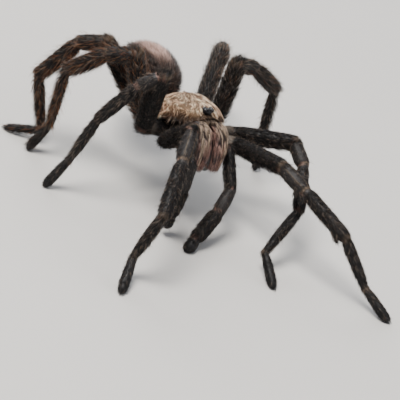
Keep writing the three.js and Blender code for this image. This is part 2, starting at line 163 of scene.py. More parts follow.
class Nodes:
    """A small helper that adds and links shader nodes in one material."""

    def __init__(self, name: str) -> None:
        """Start an empty node material.

        Args:
            name: The material's name.
        """
        self.material = bpy.data.materials.new(name)
        self.material.use_nodes = True
        self.tree = self.material.node_tree
        self.tree.nodes.clear()
        self.shader = self.add("ShaderNodeBsdfPrincipled")
        output = self.add("ShaderNodeOutputMaterial")
        self.link(self.shader, "BSDF", output, "Surface")

    def add(self, kind: str, **values: object) -> bpy.types.Node:
        """Add a node and set its inputs or its own properties by name.

        Args:
            kind: The node's type name.
            **values: Input values, or properties of the node.

        Returns:
            The new node.
        """
        node = self.tree.nodes.new(kind)
        for key, value in values.items():
            if key in node.inputs:
                node.inputs[key].default_value = value
            else:
                setattr(node, key, value)
        return node

    def link(self, source: bpy.types.Node, out: str | int, target: bpy.types.Node, into: str | int) -> None:
        """Join one node's output to another's input."""
        self.tree.links.new(source.outputs[out], target.inputs[into])

    def noise(self, scale: float, detail: float = 3.0) -> bpy.types.Node:
        """Add noise that stays fixed to the piece.

        Args:
            scale: Waves for each metre.
            detail: How fine it gets.

        Returns:
            The noise node.
        """
        place = self.add("ShaderNodeTexCoord")
        noise = self.add("ShaderNodeTexNoise", Scale=scale, Detail=detail, Roughness=0.6)
        self.link(place, "Object", noise, "Vector")
        return noise

    def spread(self, source: bpy.types.Node, low: float, high: float) -> bpy.types.Node:
        """Stretch a node's first output from 0..1 to low..high.

        Args:
            source: The node.
            low: What 0 becomes.
            high: What 1 becomes.

        Returns:
            The node with the stretched output.
        """
        node = self.add("ShaderNodeMapRange")
        node.inputs["To Min"].default_value = low
        node.inputs["To Max"].default_value = high
        self.link(source, 0, node, "Value")
        return node

    def tinted(self, low: float, high: float, scale: float, detail: float) -> None:
        """Colour the shader by the mesh's own tint, darker and lighter with noise.

        Args:
            low: The darkest share of the tint.
            high: The lightest share.
            scale: Waves for each metre.
            detail: How fine the noise gets.
        """
        colour = self.add("ShaderNodeVertexColor", layer_name=TINT)
        scaled = self.add("ShaderNodeVectorMath", operation="SCALE")
        self.link(colour, "Color", scaled, 0)
        self.link(self.spread(self.noise(scale, detail), low, high), 0, scaled, "Scale")
        self.link(scaled, 0, self.shader, "Base Color")

    def clouded(self, tone: Array, low: float, high: float, scale: float) -> None:
        """Colour the shader by one tone, darker and lighter with noise.

        Args:
            tone: The linear colour.
            low: The darkest share of it.
            high: The lightest share.
            scale: Waves for each metre.
        """
        mix = self.add("ShaderNodeMix", data_type="RGBA")
        mix.inputs["A"].default_value = (*(tone * low), 1.0)
        mix.inputs["B"].default_value = (*(tone * high), 1.0)
        self.link(self.noise(scale), 0, mix, "Factor")
        self.link(mix, "Result", self.shader, "Base Color")

    def rough(self, low: float, high: float, scale: float, detail: float) -> None:
        """Let the roughness wander from low to high with noise."""
        self.link(self.spread(self.noise(scale, detail), low, high), 0, self.shader, "Roughness")

    def bump(self, height: bpy.types.Node, strength: float, distance: float) -> None:
        """Raise the surface by a node's first output, up to a distance in metres.

        Args:
            height: The node whose first output is the height.
            strength: How strongly it shows.
            distance: The greatest height, in metres.
        """
        node = self.add("ShaderNodeBump", Strength=strength, Distance=distance)
        self.link(height, 0, node, "Height")
        self.link(node, "Normal", self.shader, "Normal")

    def set(self, **values: float) -> None:
        """Set constant values on the shader's own sockets, spaces written as underscores."""
        for key, value in values.items():
            self.shader.inputs[key.replace("_", " ")].default_value = value


@dataclass(frozen=True)
class Finish:
    """What a piece is made of: a name, and a material mixed from nodes.

    Grain and clouds are given as waves for each metre, and relief in metres.
    """

    name: str

    def mix(self, nodes: Nodes) -> None:
        """Set the nodes up; each finish has its own way."""
        raise NotImplementedError

    def material(self) -> bpy.types.Material:
        """Build the node material.

        Returns:
            The material.
        """
        nodes = Nodes(self.name)
        self.mix(nodes)
        return nodes.material


@dataclass(frozen=True)
class HairFinish(Finish):
    """Hair with a soft gloss, each strand coloured by its own tint."""

    roughness: float = 0.42
    specular: float = 0.32
    sheen: float = 0.0
    relief: float = 0.00002

    def mix(self, nodes: Nodes) -> None:
        """Set its tint, gloss and relief.

        Args:
            nodes: The material's nodes.
        """
        nodes.tinted(0.72, 1.3, 2600.0, 2.0)
        nodes.rough(self.roughness - 0.07, self.roughness + 0.12, 900.0, 2.0)
        nodes.bump(nodes.noise(9000.0, 2.0), 0.25, self.relief)
        nodes.set(Specular_IOR_Level=self.specular, Sheen_Weight=self.sheen, Sheen_Roughness=0.4)


@dataclass(frozen=True)
class SkinFinish(Finish):
    """Leathery skin under the coat, with fine folds and a satin gloss."""

    grain: float = 4200.0
    roughness: float = 0.55
    specular: float = 0.4
    relief: float = 0.00006

    def mix(self, nodes: Nodes) -> None:
        """Set its tint, gloss and relief.

        Args:
            nodes: The material's nodes.
        """
        nodes.tinted(0.65, 1.35, self.grain * 0.35, 4.0)
        nodes.rough(self.roughness - 0.12, self.roughness + 0.15, self.grain * 0.5, 3.0)
        nodes.bump(nodes.noise(self.grain, 5.0), 0.6, self.relief)
        nodes.set(Specular_IOR_Level=self.specular)


@dataclass(frozen=True)
class GlossFinish(Finish):
    """Polished horn or eye, one dark tone with faint clouding under a clear coat."""

    roughness: float
    coat: float
    tone: Tone = Tone.HORN
    cloud: float = 900.0
    relief: float = 0.00002

    def mix(self, nodes: Nodes) -> None:
        """Set its tint, gloss and relief.

        Args:
            nodes: The material's nodes.
        """
        nodes.clouded(self.tone.linear(), 0.6, 1.5, self.cloud)
        nodes.rough(self.roughness * 0.7, self.roughness * 1.4, self.cloud * 2.0, 2.0)
        nodes.bump(nodes.noise(self.cloud * 3.0), 0.15, self.relief)
        nodes.set(Specular_IOR_Level=0.55, Coat_Weight=self.coat, Coat_Roughness=0.05)


@dataclass(frozen=True)
class FloorFinish(Finish):
    """Plain pale studio floor."""

    tone: tuple[float, float, float] = (0.62, 0.6, 0.57)

    def mix(self, nodes: Nodes) -> None:
        """Set its tint and gloss.

        Args:
            nodes: The material's nodes.
        """
        nodes.clouded(np.array(self.tone), 0.97, 1.03, 18.0)
        nodes.set(Roughness=0.85, Specular_IOR_Level=0.2)


# ---------------- mesh helpers


def unit(vectors: Array) -> Array:
    """Each row, or the one vector, at length 1."""
    length = np.linalg.norm(vectors, axis=-1, keepdims=True)
    return vectors / np.maximum(length, 1e-9)


def turns(count: int) -> Array:
    """Angles spread evenly over one whole turn."""
    return np.linspace(0.0, 2.0 * math.pi, count, endpoint=False)


POLE = 84.0


@dataclass
class Shape:
    """A mesh in the making: points in millimetres, and faces as lists of point numbers."""

    points: Array
    faces: list[tuple[int, ...]]

    @staticmethod
    def loft(rings: Array, start: Array, end: Array) -> "Shape":
        """Close a row of rings into a body.

        Args:
            rings: Points as (rings, points round, 3).
            start: The middle of the first end.
            end: The middle of the last end.

        Returns:
            The closed shape.
        """
        count, around = rings.shape[:2]
        points = np.vstack([rings.reshape(-1, 3), start, end])
        first, last = count * around, count * around + 1
        faces: list[tuple[int, ...]] = []
        for i in range(around):
            j = (i + 1) % around
            faces.append((first, j, i))
            for ring in range(count - 1):
                a, b = ring * around, (ring + 1) * around
                faces.append((a + i, a + j, b + j, b + i))
            faces.append((last, (count - 1) * around + i, (count - 1) * around + j))
        return Shape(points, faces)

    @staticmethod
    def rounded(centre: Array, radii: Array, rows: int = 25, around: int = 40, full: float = 0.0) -> "Shape":
        """Make a rounded body whose long way is Y.

        Args:
            centre: Its middle.
            radii: Its half sizes.
            rows: Rings from end to end.
            around: Points in each ring.
            full: How much fuller it is towards +Y.

        Returns:
            The closed shape.
        """
        rings = []
        angles = turns(around)
        for latitude in np.radians(np.linspace(-POLE, POLE, rows)):
            along = math.sin(latitude)
            wide = math.cos(latitude) * (1.0 + full * (along - along**3))
            ring = np.column_stack([wide * np.cos(angles), np.full(around, along), -wide * np.sin(angles)])
            rings.append(ring * radii + centre)
        reach = np.array([0.0, radii[1], 0.0])
        return Shape.loft(np.array(rings), centre - reach, centre + reach)

    @staticmethod
    def joined(shapes: list["Shape"]) -> "Shape":
        """Put several shapes into one mesh, each keeping its own faces.

        Args:
            shapes: The shapes.

        Returns:
            One shape, with a part for each.
        """
        points, faces, offset = [], [], 0
        for shape in shapes:
            points.append(shape.points)
            faces.extend(tuple(offset + i for i in face) for face in shape.faces)
            offset += len(shape.points)
        return Shape(np.vstack(points), faces)

    def mesh(self, name: str) -> bpy.types.Mesh:
        """Make the Blender mesh, in metres, with smooth shading.

        Args:
            name: The mesh's name.

        Returns:
            The mesh.
        """
        mesh = bpy.data.meshes.new(name)
        mesh.from_pydata((self.points * MM).tolist(), [], self.faces)
        mesh.polygons.foreach_set("use_smooth", [True] * len(mesh.polygons))
        mesh.update()
        return mesh


def placed(name: str, data: bpy.types.ID) -> bpy.types.Object:
    """Put a mesh, a light or a camera into the scene.

    Args:
        name: Its name.
        data: The mesh, light or camera.

    Returns:
        The scene's object.
    """
    shown = bpy.data.objects.new(name, data)
    bpy.context.scene.collection.objects.link(shown)
    return shown


def piece(
    name: str, mesh: bpy.types.Mesh, finish: Finish, replaced: tuple[str, ...] = ()
) -> bpy.types.Object:
    """Show a mesh as one piece of the animal.

    Args:
        name: The piece's name.
        mesh: Its mesh, in metres.
        finish: What it is made of.
        replaced: The solids it stands for.

    Returns:
        The piece.
    """
    shown = placed(name, mesh)
    mesh.materials.clear()
    mesh.materials.append(finish.material())
    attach(shown, "root")
    if replaced:
        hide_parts(*replaced)
    return shown


def paint(mesh: bpy.types.Mesh, colours: Array) -> None:
    """Give each vertex its tint.

    Args:
        mesh: The mesh to colour.
        colours: Linear colours, one for each vertex.
    """
    layer = mesh.color_attributes.new(TINT, "FLOAT_COLOR", "POINT")
    flat = np.ones((len(colours), 4), np.float32)
    flat[:, :3] = np.clip(colours, 0.0, 1.0)
    layer.data.foreach_set("color", flat.ravel())


def triples(items: bpy.types.bpy_prop_collection, what: str, kind: type = float) -> Array:
    """Read three numbers from each item of a mesh.

    Args:
        items: The mesh's vertices, triangles or the like.
        what: What is read from each.
        kind: The kind of number.

    Returns:
        One row for each item.
    """
    flat = np.empty(len(items) * 3, kind)
    items.foreach_get(what, flat)
    return flat.reshape(-1, 3)


def vertices(mesh: bpy.types.Mesh) -> Array:
    """A mesh's vertices in millimetres."""
    return triples(mesh.vertices, "co") / MM


# ---------------- the solids' own frame


def node_points(name: str) -> Array:
    """The corners of a solid, each once, in millimetres."""
    return np.unique(np.round(vertices(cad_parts[name].data), 4), axis=0)


@dataclass
class TrunkPlace:
    """Where the trunk stands: nose a little up, left side a little low.

    Attributes:
        pitch: Its turn about the sideways axis, in degrees.
        roll: Its turn about its own length, in degrees.
        abdomen: The abdomen's middle in the trunk's frame.
        turn: Both turns as a matrix.
        origin: The trunk's middle in the whole animal's frame.
    """

    pitch: float = -4.0
    roll: float = 3.0
    abdomen: tuple[float, float, float] = (0.0, 19.4, 2.4)
    turn: Array = field(init=False)
    origin: Array = field(init=False)

    def __post_init__(self) -> None:
        """Find the trunk's middle from the abdomen's solid."""
        pitch, roll = math.radians(self.pitch), math.radians(self.roll)
        self.turn = np.array(Matrix.Rotation(pitch, 3, "X") @ Matrix.Rotation(roll, 3, "Y"))
        low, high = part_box("abdomen")
        middle = np.array((low + high) / 2.0) / MM
        self.origin = middle - self.turn @ np.array(self.abdomen)

    def out(self, points: Array) -> Array:
        """From the trunk's frame to the whole animal's."""
        return np.asarray(points) @ self.turn.T + self.origin

    def into(self, points: Array) -> Array:
        """From the whole animal's frame to the trunk's."""
        return (np.asarray(points) - self.origin) @ self.turn

    def way(self, vectors: Array) -> Array:
        """Turn directions of the trunk's frame into the whole animal's."""
        return np.asarray(vectors) @ self.turn.T

    def stand(self, shape: Shape) -> Shape:
        """Move a shape from the trunk's frame to the whole animal's."""
        return Shape(self.out(shape.points), shape.faces)


class Part(Enum):
    """What a stretch of skin belongs to."""

    COXA = 0
    FEMUR = 1
    PATELLA = 2
    TIBIA = 3
    METATARSUS = 4
    TARSUS = 5
    TRUNK = 6
    ABDOMEN = 7
    SPINNERET = 8


@dataclass(frozen=True)
class Hair:
    """How the coat looks on one part.

    Attributes:
        depth: From the skin to the solid's surface.
        length: The usual length of a short hair.
        width: Its half width at the root.
        lift: How far it stands up, in degrees.
        share: The share of all roots that carry a short hair.
        setae: How many roots carry a long seta, against the tibia's.
    """

    depth: float
    length: float
    width: float
    lift: float
    share: float
    setae: float


COAT = {
    Part.COXA: Hair(0.3, 0.95, 0.05, 20.0, 0.7, 0.25),
    Part.FEMUR: Hair(0.36, 1.15, 0.05, 17.0, 1.0, 0.75),
    Part.PATELLA: Hair(0.3, 0.8, 0.045, 13.0, 0.95, 0.4),
    Part.TIBIA: Hair(0.36, 1.15, 0.05, 17.0, 1.0, 1.0),
    Part.METATARSUS: Hair(0.3, 1.05, 0.048, 19.0, 1.0, 1.0),
    Part.TARSUS: Hair(0.26, 0.8, 0.045, 21.0, 1.0, 0.25),
    Part.TRUNK: Hair(0.4, 1.1, 0.05, 24.0, 0.6, 0.25),
    Part.ABDOMEN: Hair(1.2, 2.5, 0.05, 28.0, 0.9, 0.9),
    Part.SPINNERET: Hair(0.2, 0.6, 0.04, 20.0, 1.0, 0.25),
}

# Each outline: (share of the length, share of the half width).
Outline = tuple[tuple[float, float], ...]
OUTLINE: dict[Part, Outline] = {
    Part.COXA: ((0.0, 0.8), (0.3, 0.95), (0.55, 1.0), (0.72, 0.86), (0.8, 0.93), (0.93, 0.9), (1.0, 0.74)),
    Part.FEMUR: (
        *((0.0, 0.72), (0.05, 0.86), (0.15, 0.95), (0.42, 1.02)),
        *((0.78, 0.99), (0.92, 0.96), (0.97, 0.88), (1.0, 0.72)),
    ),
    Part.PATELLA: (
        *((0.0, 0.72), (0.08, 0.88), (0.3, 1.0), (0.7, 1.02)),
        *((0.9, 0.96), (0.96, 0.88), (1.0, 0.74)),
    ),
    Part.TIBIA: ((0.0, 0.74), (0.05, 0.88), (0.2, 0.98), (0.6, 1.02), (0.9, 0.95), (0.96, 0.88), (1.0, 0.72)),
    Part.METATARSUS: ((0.0, 0.74), (0.06, 0.88), (0.3, 1.0), (0.65, 0.94), (0.9, 0.76), (1.0, 0.62)),
    Part.TARSUS: ((0.0, 0.64), (0.1, 0.82), (0.35, 0.98), (0.75, 1.02), (0.9, 0.94), (1.0, 0.72)),
    Part.SPINNERET: (
        *((0.0, 0.9), (0.3, 1.0), (0.36, 0.8), (0.42, 0.92)),
        *((0.68, 0.8), (0.72, 0.62), (0.78, 0.7), (1.0, 0.4)),
    ),
}
PRONG: Outline = ((0.0, 1.0), (0.4, 0.95), (0.75, 0.75), (0.95, 0.45), (1.0, 0.2))


@dataclass
class Bone:
    """A straight stretch of the body that skin and coat are laid out along.

    Attributes:
        part: What it belongs to.
        start: Its nearer end.
        end: Its further end.
        radius: The solid's half width, coat included.
        up: The way its back faces.
        limb: The limb's name, or "body".
        pair: The leg's pair, 0 for a palp or the body.
        number: Its place in the unwrap.
    """

    part: Part
    start: Array
    end: Array
    radius: float
    up: Array
    limb: str
    pair: int = 0
    number: int = 0

    @property
    def length(self) -> float:
        """The distance from end to end."""
        return float(np.linalg.norm(self.end - self.start))

    @property
    def ahead(self) -> Array:
        """The way from start to end."""
        return unit(self.end - self.start)

    @property
    def across(self) -> Array:
        """The sideways direction."""
        return unit(np.cross(self.up, self.ahead))

    def ring(self, share: float, half_width: float, slant: Array, count: int = 20) -> Array:
        """One ring of points round the bone.

        Args:
            share: The place along its length.
            half_width: The ring's half width.
            slant: The normal of the ring's plane.
            count: Points in the ring.

        Returns:
            The ring's points.
        """
        angles = turns(count)
        upright = np.cross(self.ahead, self.across)
        offsets = half_width * (np.outer(np.cos(angles), self.across) + np.outer(np.sin(angles), upright))
        shift = -(offsets @ slant) / float(self.ahead @ slant)
        centre = self.start + self.ahead * self.length * share
        return centre + offsets + np.outer(np.clip(shift, -half_width, half_width), self.ahead)

    def straight(self, outline: Outline, half_width: float, count: int) -> Array:
        """Rings square to the bone along an outline, with count points in each."""
        return np.array([self.ring(share, half_width * part, self.ahead, count) for share, part in outline])


LEG_PARTS = {
    "femur": Part.FEMUR,
    "patella": Part.PATELLA,
    "tibia": Part.TIBIA,
    "metatarsus": Part.METATARSUS,
    "tarsus": Part.TARSUS,
}
PALP_PARTS = {name: part for name, part in LEG_PARTS.items() if name != "metatarsus"}


@dataclass
class Limb:
    """A leg or palp, with its joints read off the solids.

    Attributes:
        name: Its name in the solids.
        pair: Its pair, 0 for a palp.
        parts: Its segments from the trunk outwards.
        touch: How near two solids come where they meet.
        coxa_radius: The coxa's half width.
        coxa_root: The share of the way out and back at which the coxa starts, and its drop.
        lean: How far an end ring leans towards the neighbouring bone.
        lean_reach: The share of the length over which rings lean.
        cap: How far a closed end bulges at a joint, against the half width.
        tip_cap: The same at the limb's tip.
        knuckle: The size of the ball inside a joint, against the slimmer half width.
        bones: One for each segment, the coxa first.
    """

    name: str
    pair: int
    parts: dict[str, Part]
    touch: float = 0.9
    coxa_radius: float = 1.95
    coxa_root: tuple[float, float, float] = (0.28, 0.5, 0.9)
    lean: float = 0.9
    lean_reach: float = 0.25
    cap: float = 0.1
    tip_cap: float = 0.4
    knuckle: float = 0.84
    bones: list[Bone] = field(default_factory=list)

    def read(self, trunk: TrunkPlace) -> None:
        """Find the joints and make the bones, coxa included.

        Args:
            trunk: Where the trunk stands.
        """
        solids = [node_points(f"{self.name}_{part}") for part in self.parts]
        chain = [node_points("trunk"), *solids]
        joints = [self.meeting(a, b) for a, b in zip(chain, chain[1:])]
        joints.append(self.tip(solids[-1], joints[-1]))
        root = trunk.into(joints[0])
        across, back_share, drop = self.coxa_root
        inner = trunk.out(np.array([root[0] * across, root[1] * back_share, root[2] - drop]))
        plane = unit(np.cross(joints[1] - joints[0], joints[3] - joints[1]))
        back = np.cross(unit(joints[2] - joints[0]), plane)
        back = back if back[2] > 0 else -back
        self.bones.append(self.bone(Part.COXA, inner, joints[0], self.coxa_radius, back))
        for k, part in enumerate(self.parts.values()):
            start, end = joints[k], joints[k + 1]
            self.bones.append(self.bone(part, start, end, self.half_width(solids[k], start, end, back), back))

    def bone(self, part: Part, start: Array, end: Array, radius: float, back: Array) -> Bone:
        """One stretch of the limb, turned with its back the way the limb's back faces.

        Args:
            part: What it belongs to.
            start: Its nearer end.
            end: Its further end.
            radius: Its half width.
            back: The way the limb's back faces.

        Returns:
            The bone.
        """
        ahead = unit(end - start)
        up = unit(back - ahead * float(back @ ahead))
        return Bone(part, start, end, radius, up, self.name, self.pair)

    def meeting(self, a: Array, b: Array) -> Array:
        """The joint between two neighbouring solids: the middle of their facing ends.

        Args:
            a: One solid's corners.
            b: The next solid's corners.

        Returns:
            The joint.
        """
        gaps = np.linalg.norm(a[:, None] - b[None], axis=2)
        facing = [a[gaps.min(1) < self.touch], b[gaps.min(0) < self.touch]]
        return (facing[0].mean(0) + facing[1].mean(0)) / 2.0

    @staticmethod
    def tip(solid: Array, joint: Array) -> Array:
        """The last joint of a limb, a little inside the rounded tip of its solid.

        Args:
            solid: The last solid's corners.
            joint: The joint before it.

        Returns:
            The last joint.
        """
        far = solid[np.linalg.norm(solid - joint, axis=1) > 0.5 * np.ptp(solid, axis=0).max()]
        ahead = unit(far.mean(0) - joint)
        return joint + ahead * (((solid - joint) @ ahead).max() - 0.5)

    @staticmethod
    def half_width(solid: Array, start: Array, end: Array, back: Array) -> float:
        """A solid's half width round the line from start to end, taken on its back.

        Args:
            solid: The solid's corners.
            start: The line's nearer end.
            end: Its further end.
            back: The way the limb's back faces.

        Returns:
            The half width.
        """
        ahead = unit(end - start)
        offset = (solid - start) - np.outer((solid - start) @ ahead, ahead)
        away = np.linalg.norm(offset, axis=1)
        return float(np.quantile(away[(away > 0.5) & (offset @ back > 0.0)], 0.7))

    def shapes(self) -> list[Shape]:
        """The limb's skin, one closed stretch for each bone, overlapping at the joints.

        Returns:
            The closed stretches.
        """
        shapes = []
        for k, bone in enumerate(self.bones):
            before = self.bones[k - 1].ahead if k else bone.ahead
            after = self.bones[k + 1].ahead if k + 1 < len(self.bones) else bone.ahead
            width = bone.radius - COAT[bone.part].depth
            rings = []
            for share, part in OUTLINE[bone.part]:
                lean_in = self.lean * max(0.0, 1.0 - share / self.lean_reach)
                lean_out = self.lean * max(0.0, 1.0 - (1.0 - share) / self.lean_reach)
                slant = unit(bone.ahead + lean_in * before + lean_out * after)
                rings.append(bone.ring(share, width * part, slant))
            rounding = (self.tip_cap if k + 1 == len(self.bones) else self.cap) * width
            start = bone.start - bone.ahead * self.cap * width
            last = bone.end + (rings[-1] - bone.end) * 0.6 + bone.ahead * rounding * 0.7
            end = bone.end + bone.ahead * rounding
            shapes.append(Shape.loft(np.array([*rings, last]), start, end))
            if k + 1 < len(self.bones):
                next_width = self.bones[k + 1].radius - COAT[self.bones[k + 1].part].depth
                radius = self.knuckle * min(width, next_width)
                shapes.append(Shape.rounded(bone.end, np.full(3, radius), 10, 16))
        return shapes


# ---------------- the skin


@dataclass
class Spur:
    """The forked hook under the far end of a male's first tibia.

    Attributes:
        radius: Of a prong at its root.
        root: How far the root lies behind the tibia's end, below its middle and inward.
        tips: The same for each prong's tip.
    """

    radius: float = 0.5
    root: tuple[float, float, float] = (3.3, 0.9, 0.3)
    tips: tuple[tuple[float, float, float], ...] = ((0.7, 3.0, 0.75), (1.7, 2.75, 0.1))

    def shapes(self, tibia: Bone) -> list[Shape]:
        """Two prongs that share one root.

        Args:
            tibia: The bone that carries them.

        Returns:
            The closed prongs.
        """
        side = tibia.across * (-1.0 if tibia.limb.startswith("leg_left") else 1.0)
        axes = np.array([-tibia.ahead, -tibia.up, side])
        root = tibia.end + np.array(self.root) @ axes
        shapes = []
        for place in self.tips:
            tip = tibia.end + np.array(place) @ axes
            prong = Bone(Part.TIBIA, root, tip, self.radius, tibia.ahead, tibia.limb)
            rings = prong.straight(PRONG, self.radius, 12)
            shapes.append(Shape.loft(rings, root, tip + prong.ahead * 0.05))
        return shapes


# The trunk's three rounded bodies, breast, back and waist: (middle, half sizes).
TRUNK_BODIES = (
    ((0.0, -0.6, -2.1), (4.3, 6.3, 2.0)),
    ((0.0, -0.2, 0.2), (5.6, 6.9, 1.9)),
    ((0.0, 8.4, 0.1), (1.3, 4.2, 1.1)),
)


@dataclass
class Skin:
    """The one skin of legs, palps, trunk, abdomen and spinnerets.

    Attributes:
        trunk: Where the trunk stands.
        limbs: The legs and palps.
        abdomen_radii: The abdomen's half sizes, coat included.
        rear_fullness: How much fuller the abdomen is behind.
        spinneret: Its root and tip on the left side, in the trunk's frame.
        spinneret_radius: Its half width under the coat.
        reach: The half width within which skin belongs to the trunk, and to a spinneret.
        voxel: How finely the stretches are joined.
        sole: The lowest place of the skin.
        bones: Every bone of the animal.
        mesh: The finished skin.
    """

    trunk: TrunkPlace
    limbs: list[Limb]
    abdomen_radii: tuple[float, float, float] = (7.2, 10.1, 6.6)
    rear_fullness: float = 0.12
    spinneret: tuple[tuple[float, float, float], ...] = ((1.3, 29.3, 0.6), (1.8, 33.6, 1.7))
    spinneret_radius: float = 0.62
    reach: tuple[float, float] = (4.2, 0.75)
    voxel: float = 0.285
    sole: float = 0.02
    bones: list[Bone] = field(default_factory=list)
    mesh: bpy.types.Mesh = field(init=False)

    def lay_out(self) -> None:
        """List every bone that the skin lies along, and give each its place in the unwrap."""
        out = self.trunk.out
        up = self.trunk.way([0.0, 0.0, 1.0])
        centre, radii = np.array(self.trunk.abdomen), self.abdomen_radii
        front, rear = out(centre - [0.0, radii[1] * 0.55, 0.0]), out(centre + [0.0, radii[1] * 0.62, 0.0])
        self.bones = [bone for limb in self.limbs for bone in limb.bones]
        self.bones.append(Bone(Part.ABDOMEN, front, rear, radii[0], up, "body"))
        front, rear = out([0.0, -5.0, -1.2]), out([0.0, 8.0, -0.6])
        self.bones.append(Bone(Part.TRUNK, front, rear, self.reach[0], up, "body"))
        for side in SIDES.values():
            root, tip = (out(np.array(end) * [side, 1.0, 1.0]) for end in self.spinneret)
            self.bones.append(Bone(Part.SPINNERET, root, tip, self.reach[1], up, "body"))
        for number, bone in enumerate(self.bones):
            bone.number = number

    def shapes(self) -> list[Shape]:
        """Every closed stretch that the skin is made from.

        Returns:
            The closed stretches.
        """
        shapes = [shape for limb in self.limbs for shape in limb.shapes()]
        for limb in self.limbs:
            if limb.pair == 1:
                shapes.extend(Spur().shapes(limb.bones[3]))
        inner = np.array(self.abdomen_radii) - COAT[Part.ABDOMEN].depth
        abdomen = Shape.rounded(np.array(self.trunk.abdomen), inner, full=self.rear_fullness)
        bodies = [Shape.rounded(np.array(centre), np.array(radii)) for centre, radii in TRUNK_BODIES]
        shapes.extend(self.trunk.stand(body) for body in (abdomen, *bodies))
        for bone in self.bones:
            if bone.part is Part.SPINNERET:
                rings = bone.straight(OUTLINE[Part.SPINNERET], self.spinneret_radius, 14)
                shapes.append(Shape.loft(rings, bone.start - bone.ahead * 1.6, bone.end + bone.ahead * 0.15))
        return shapes

    def build(self) -> None:
        """Join the stretches into one smooth skin."""
        rough = Shape.joined(self.shapes()).mesh("skin_rough")
        shown = placed("skin_rough", rough)
        remesh = shown.modifiers.new("one_skin", "REMESH")
        remesh.mode = "VOXEL"
        remesh.voxel_size = self.voxel * MM
        smooth = shown.modifiers.new("soften", "SMOOTH")
        smooth.factor = 0.5
        smooth.iterations = 4
        graph = bpy.context.evaluated_depsgraph_get()
        self.mesh = bpy.data.meshes.new_from_object(shown.evaluated_get(graph))
        self.mesh.name = "skin"
        places = vertices(self.mesh)
        places[:, 2] = np.maximum(places[:, 2], self.sole)
        self.mesh.vertices.foreach_set("co", (places * MM).ravel())
        self.mesh.polygons.foreach_set("use_smooth", [True] * len(self.mesh.polygons))
        bpy.data.objects.remove(shown)

    def chart(self, points: Array) -> "Chart":
        """Say which bone each place lies along, and where on it.

        Args:
            points: Places on the skin, in millimetres.

        Returns:
            The chart of these places.
        """
        best = np.full(len(points), np.inf)
        number = np.zeros(len(points), int)
        for bone in self.bones:
            along = np.clip((points - bone.start) @ bone.ahead, 0.0, bone.length)
            away = np.linalg.norm(points - bone.start - np.outer(along, bone.ahead), axis=1) / bone.radius
            near = away < best
            best[near] = away[near]
            number[near] = bone.number
        starts, ahead, ups, across, lengths = (
            np.array([getattr(bone, name) for bone in self.bones])[number]
            for name in ("start", "ahead", "up", "across", "length")
        )
        offset = points - starts
        along = (offset * ahead).sum(1) / lengths
        angle = np.arctan2((offset * across).sum(1), (offset * ups).sum(1))
        return Chart(self.bones, points, number, along, angle, ahead)

    def dress(self) -> list[bpy.types.Object]:
        """Colour the skin by its markings and show it in place of the solids of flesh.

        Returns:
            The piece.
        """
        paint(self.mesh, Markings().skin(self.chart(vertices(self.mesh))))
        flesh = ("leg_", "palp_", "trunk", "abdomen", "spinneret_")
        replaced = tuple(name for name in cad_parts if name.startswith(flesh))
        return [piece("skin", self.mesh, SkinFinish("skin_leather"), replaced)]


REAR_PAIR = 3


@dataclass
class Chart:
    """Where places lie on the body.

    Attributes:
        bones: Every bone.
        points: The places, in millimetres.
        number: Each place's bone.
        along: The share of the bone's length, from its start.
        angle: The turn round the bone, 0 on its back.
        ahead: The bone's own direction.
    """

    bones: list[Bone]
    points: Array
    number: Array
    along: Array
    angle: Array
    ahead: Array

    def each(self, value: Callable[[Bone], object]) -> Array:
        """One value for each place, worked out from its bone."""
        return np.array([value(bone) for bone in self.bones])[self.number]

    def of(self, *parts: Part) -> Array:
        """Which places belong to any of these parts."""
        return self.each(lambda bone: bone.part in parts)

    def hair(self, what: str) -> Array:
        """One number of the coat's table for each place."""
        return self.each(lambda bone: getattr(COAT[bone.part], what))

    def limb(self, name: str) -> Array:
        """Which places belong to a limb."""
        return self.each(lambda bone: bone.limb == name)

    def pairs(self) -> Array:
        """Each place's pair of legs, 0 on the palps and the body."""
        return self.each(lambda bone: bone.pair)

    def rear(self) -> Array:
        """Which places belong to the two rear pairs of legs."""
        return self.pairs() >= REAR_PAIR

    def right(self) -> Array:
        """Which places lie on the animal's right."""
        return self.points[:, 0] < 0.0

    def back(self) -> Array:
        """How far each place faces the limb's back: 1 on it, -1 underneath."""
        return np.cos(self.angle)

    def unwrap(self, columns: int = 8) -> Array:
        """Each place on the unwrap: a cell for each bone, length along, turn across.

        Args:
            columns: How many cells lie side by side.

        Returns:
            Two numbers from 0 to 1 for each place.
        """
        cell = np.column_stack([self.number % columns, self.number // columns]) / columns
        along = np.clip(self.along, -0.1, 1.1) * 0.8 + 0.1
        inside = np.column_stack([along, self.angle / (2 * math.pi) + 0.5])
        return cell + (0.04 + 0.9 * inside) / columns


# How pale the ring at the far end of each part is.
END_RINGS = {Part.PATELLA: 0.9, Part.FEMUR: 0.5, Part.TIBIA: 0.4, Part.METATARSUS: 0.55}


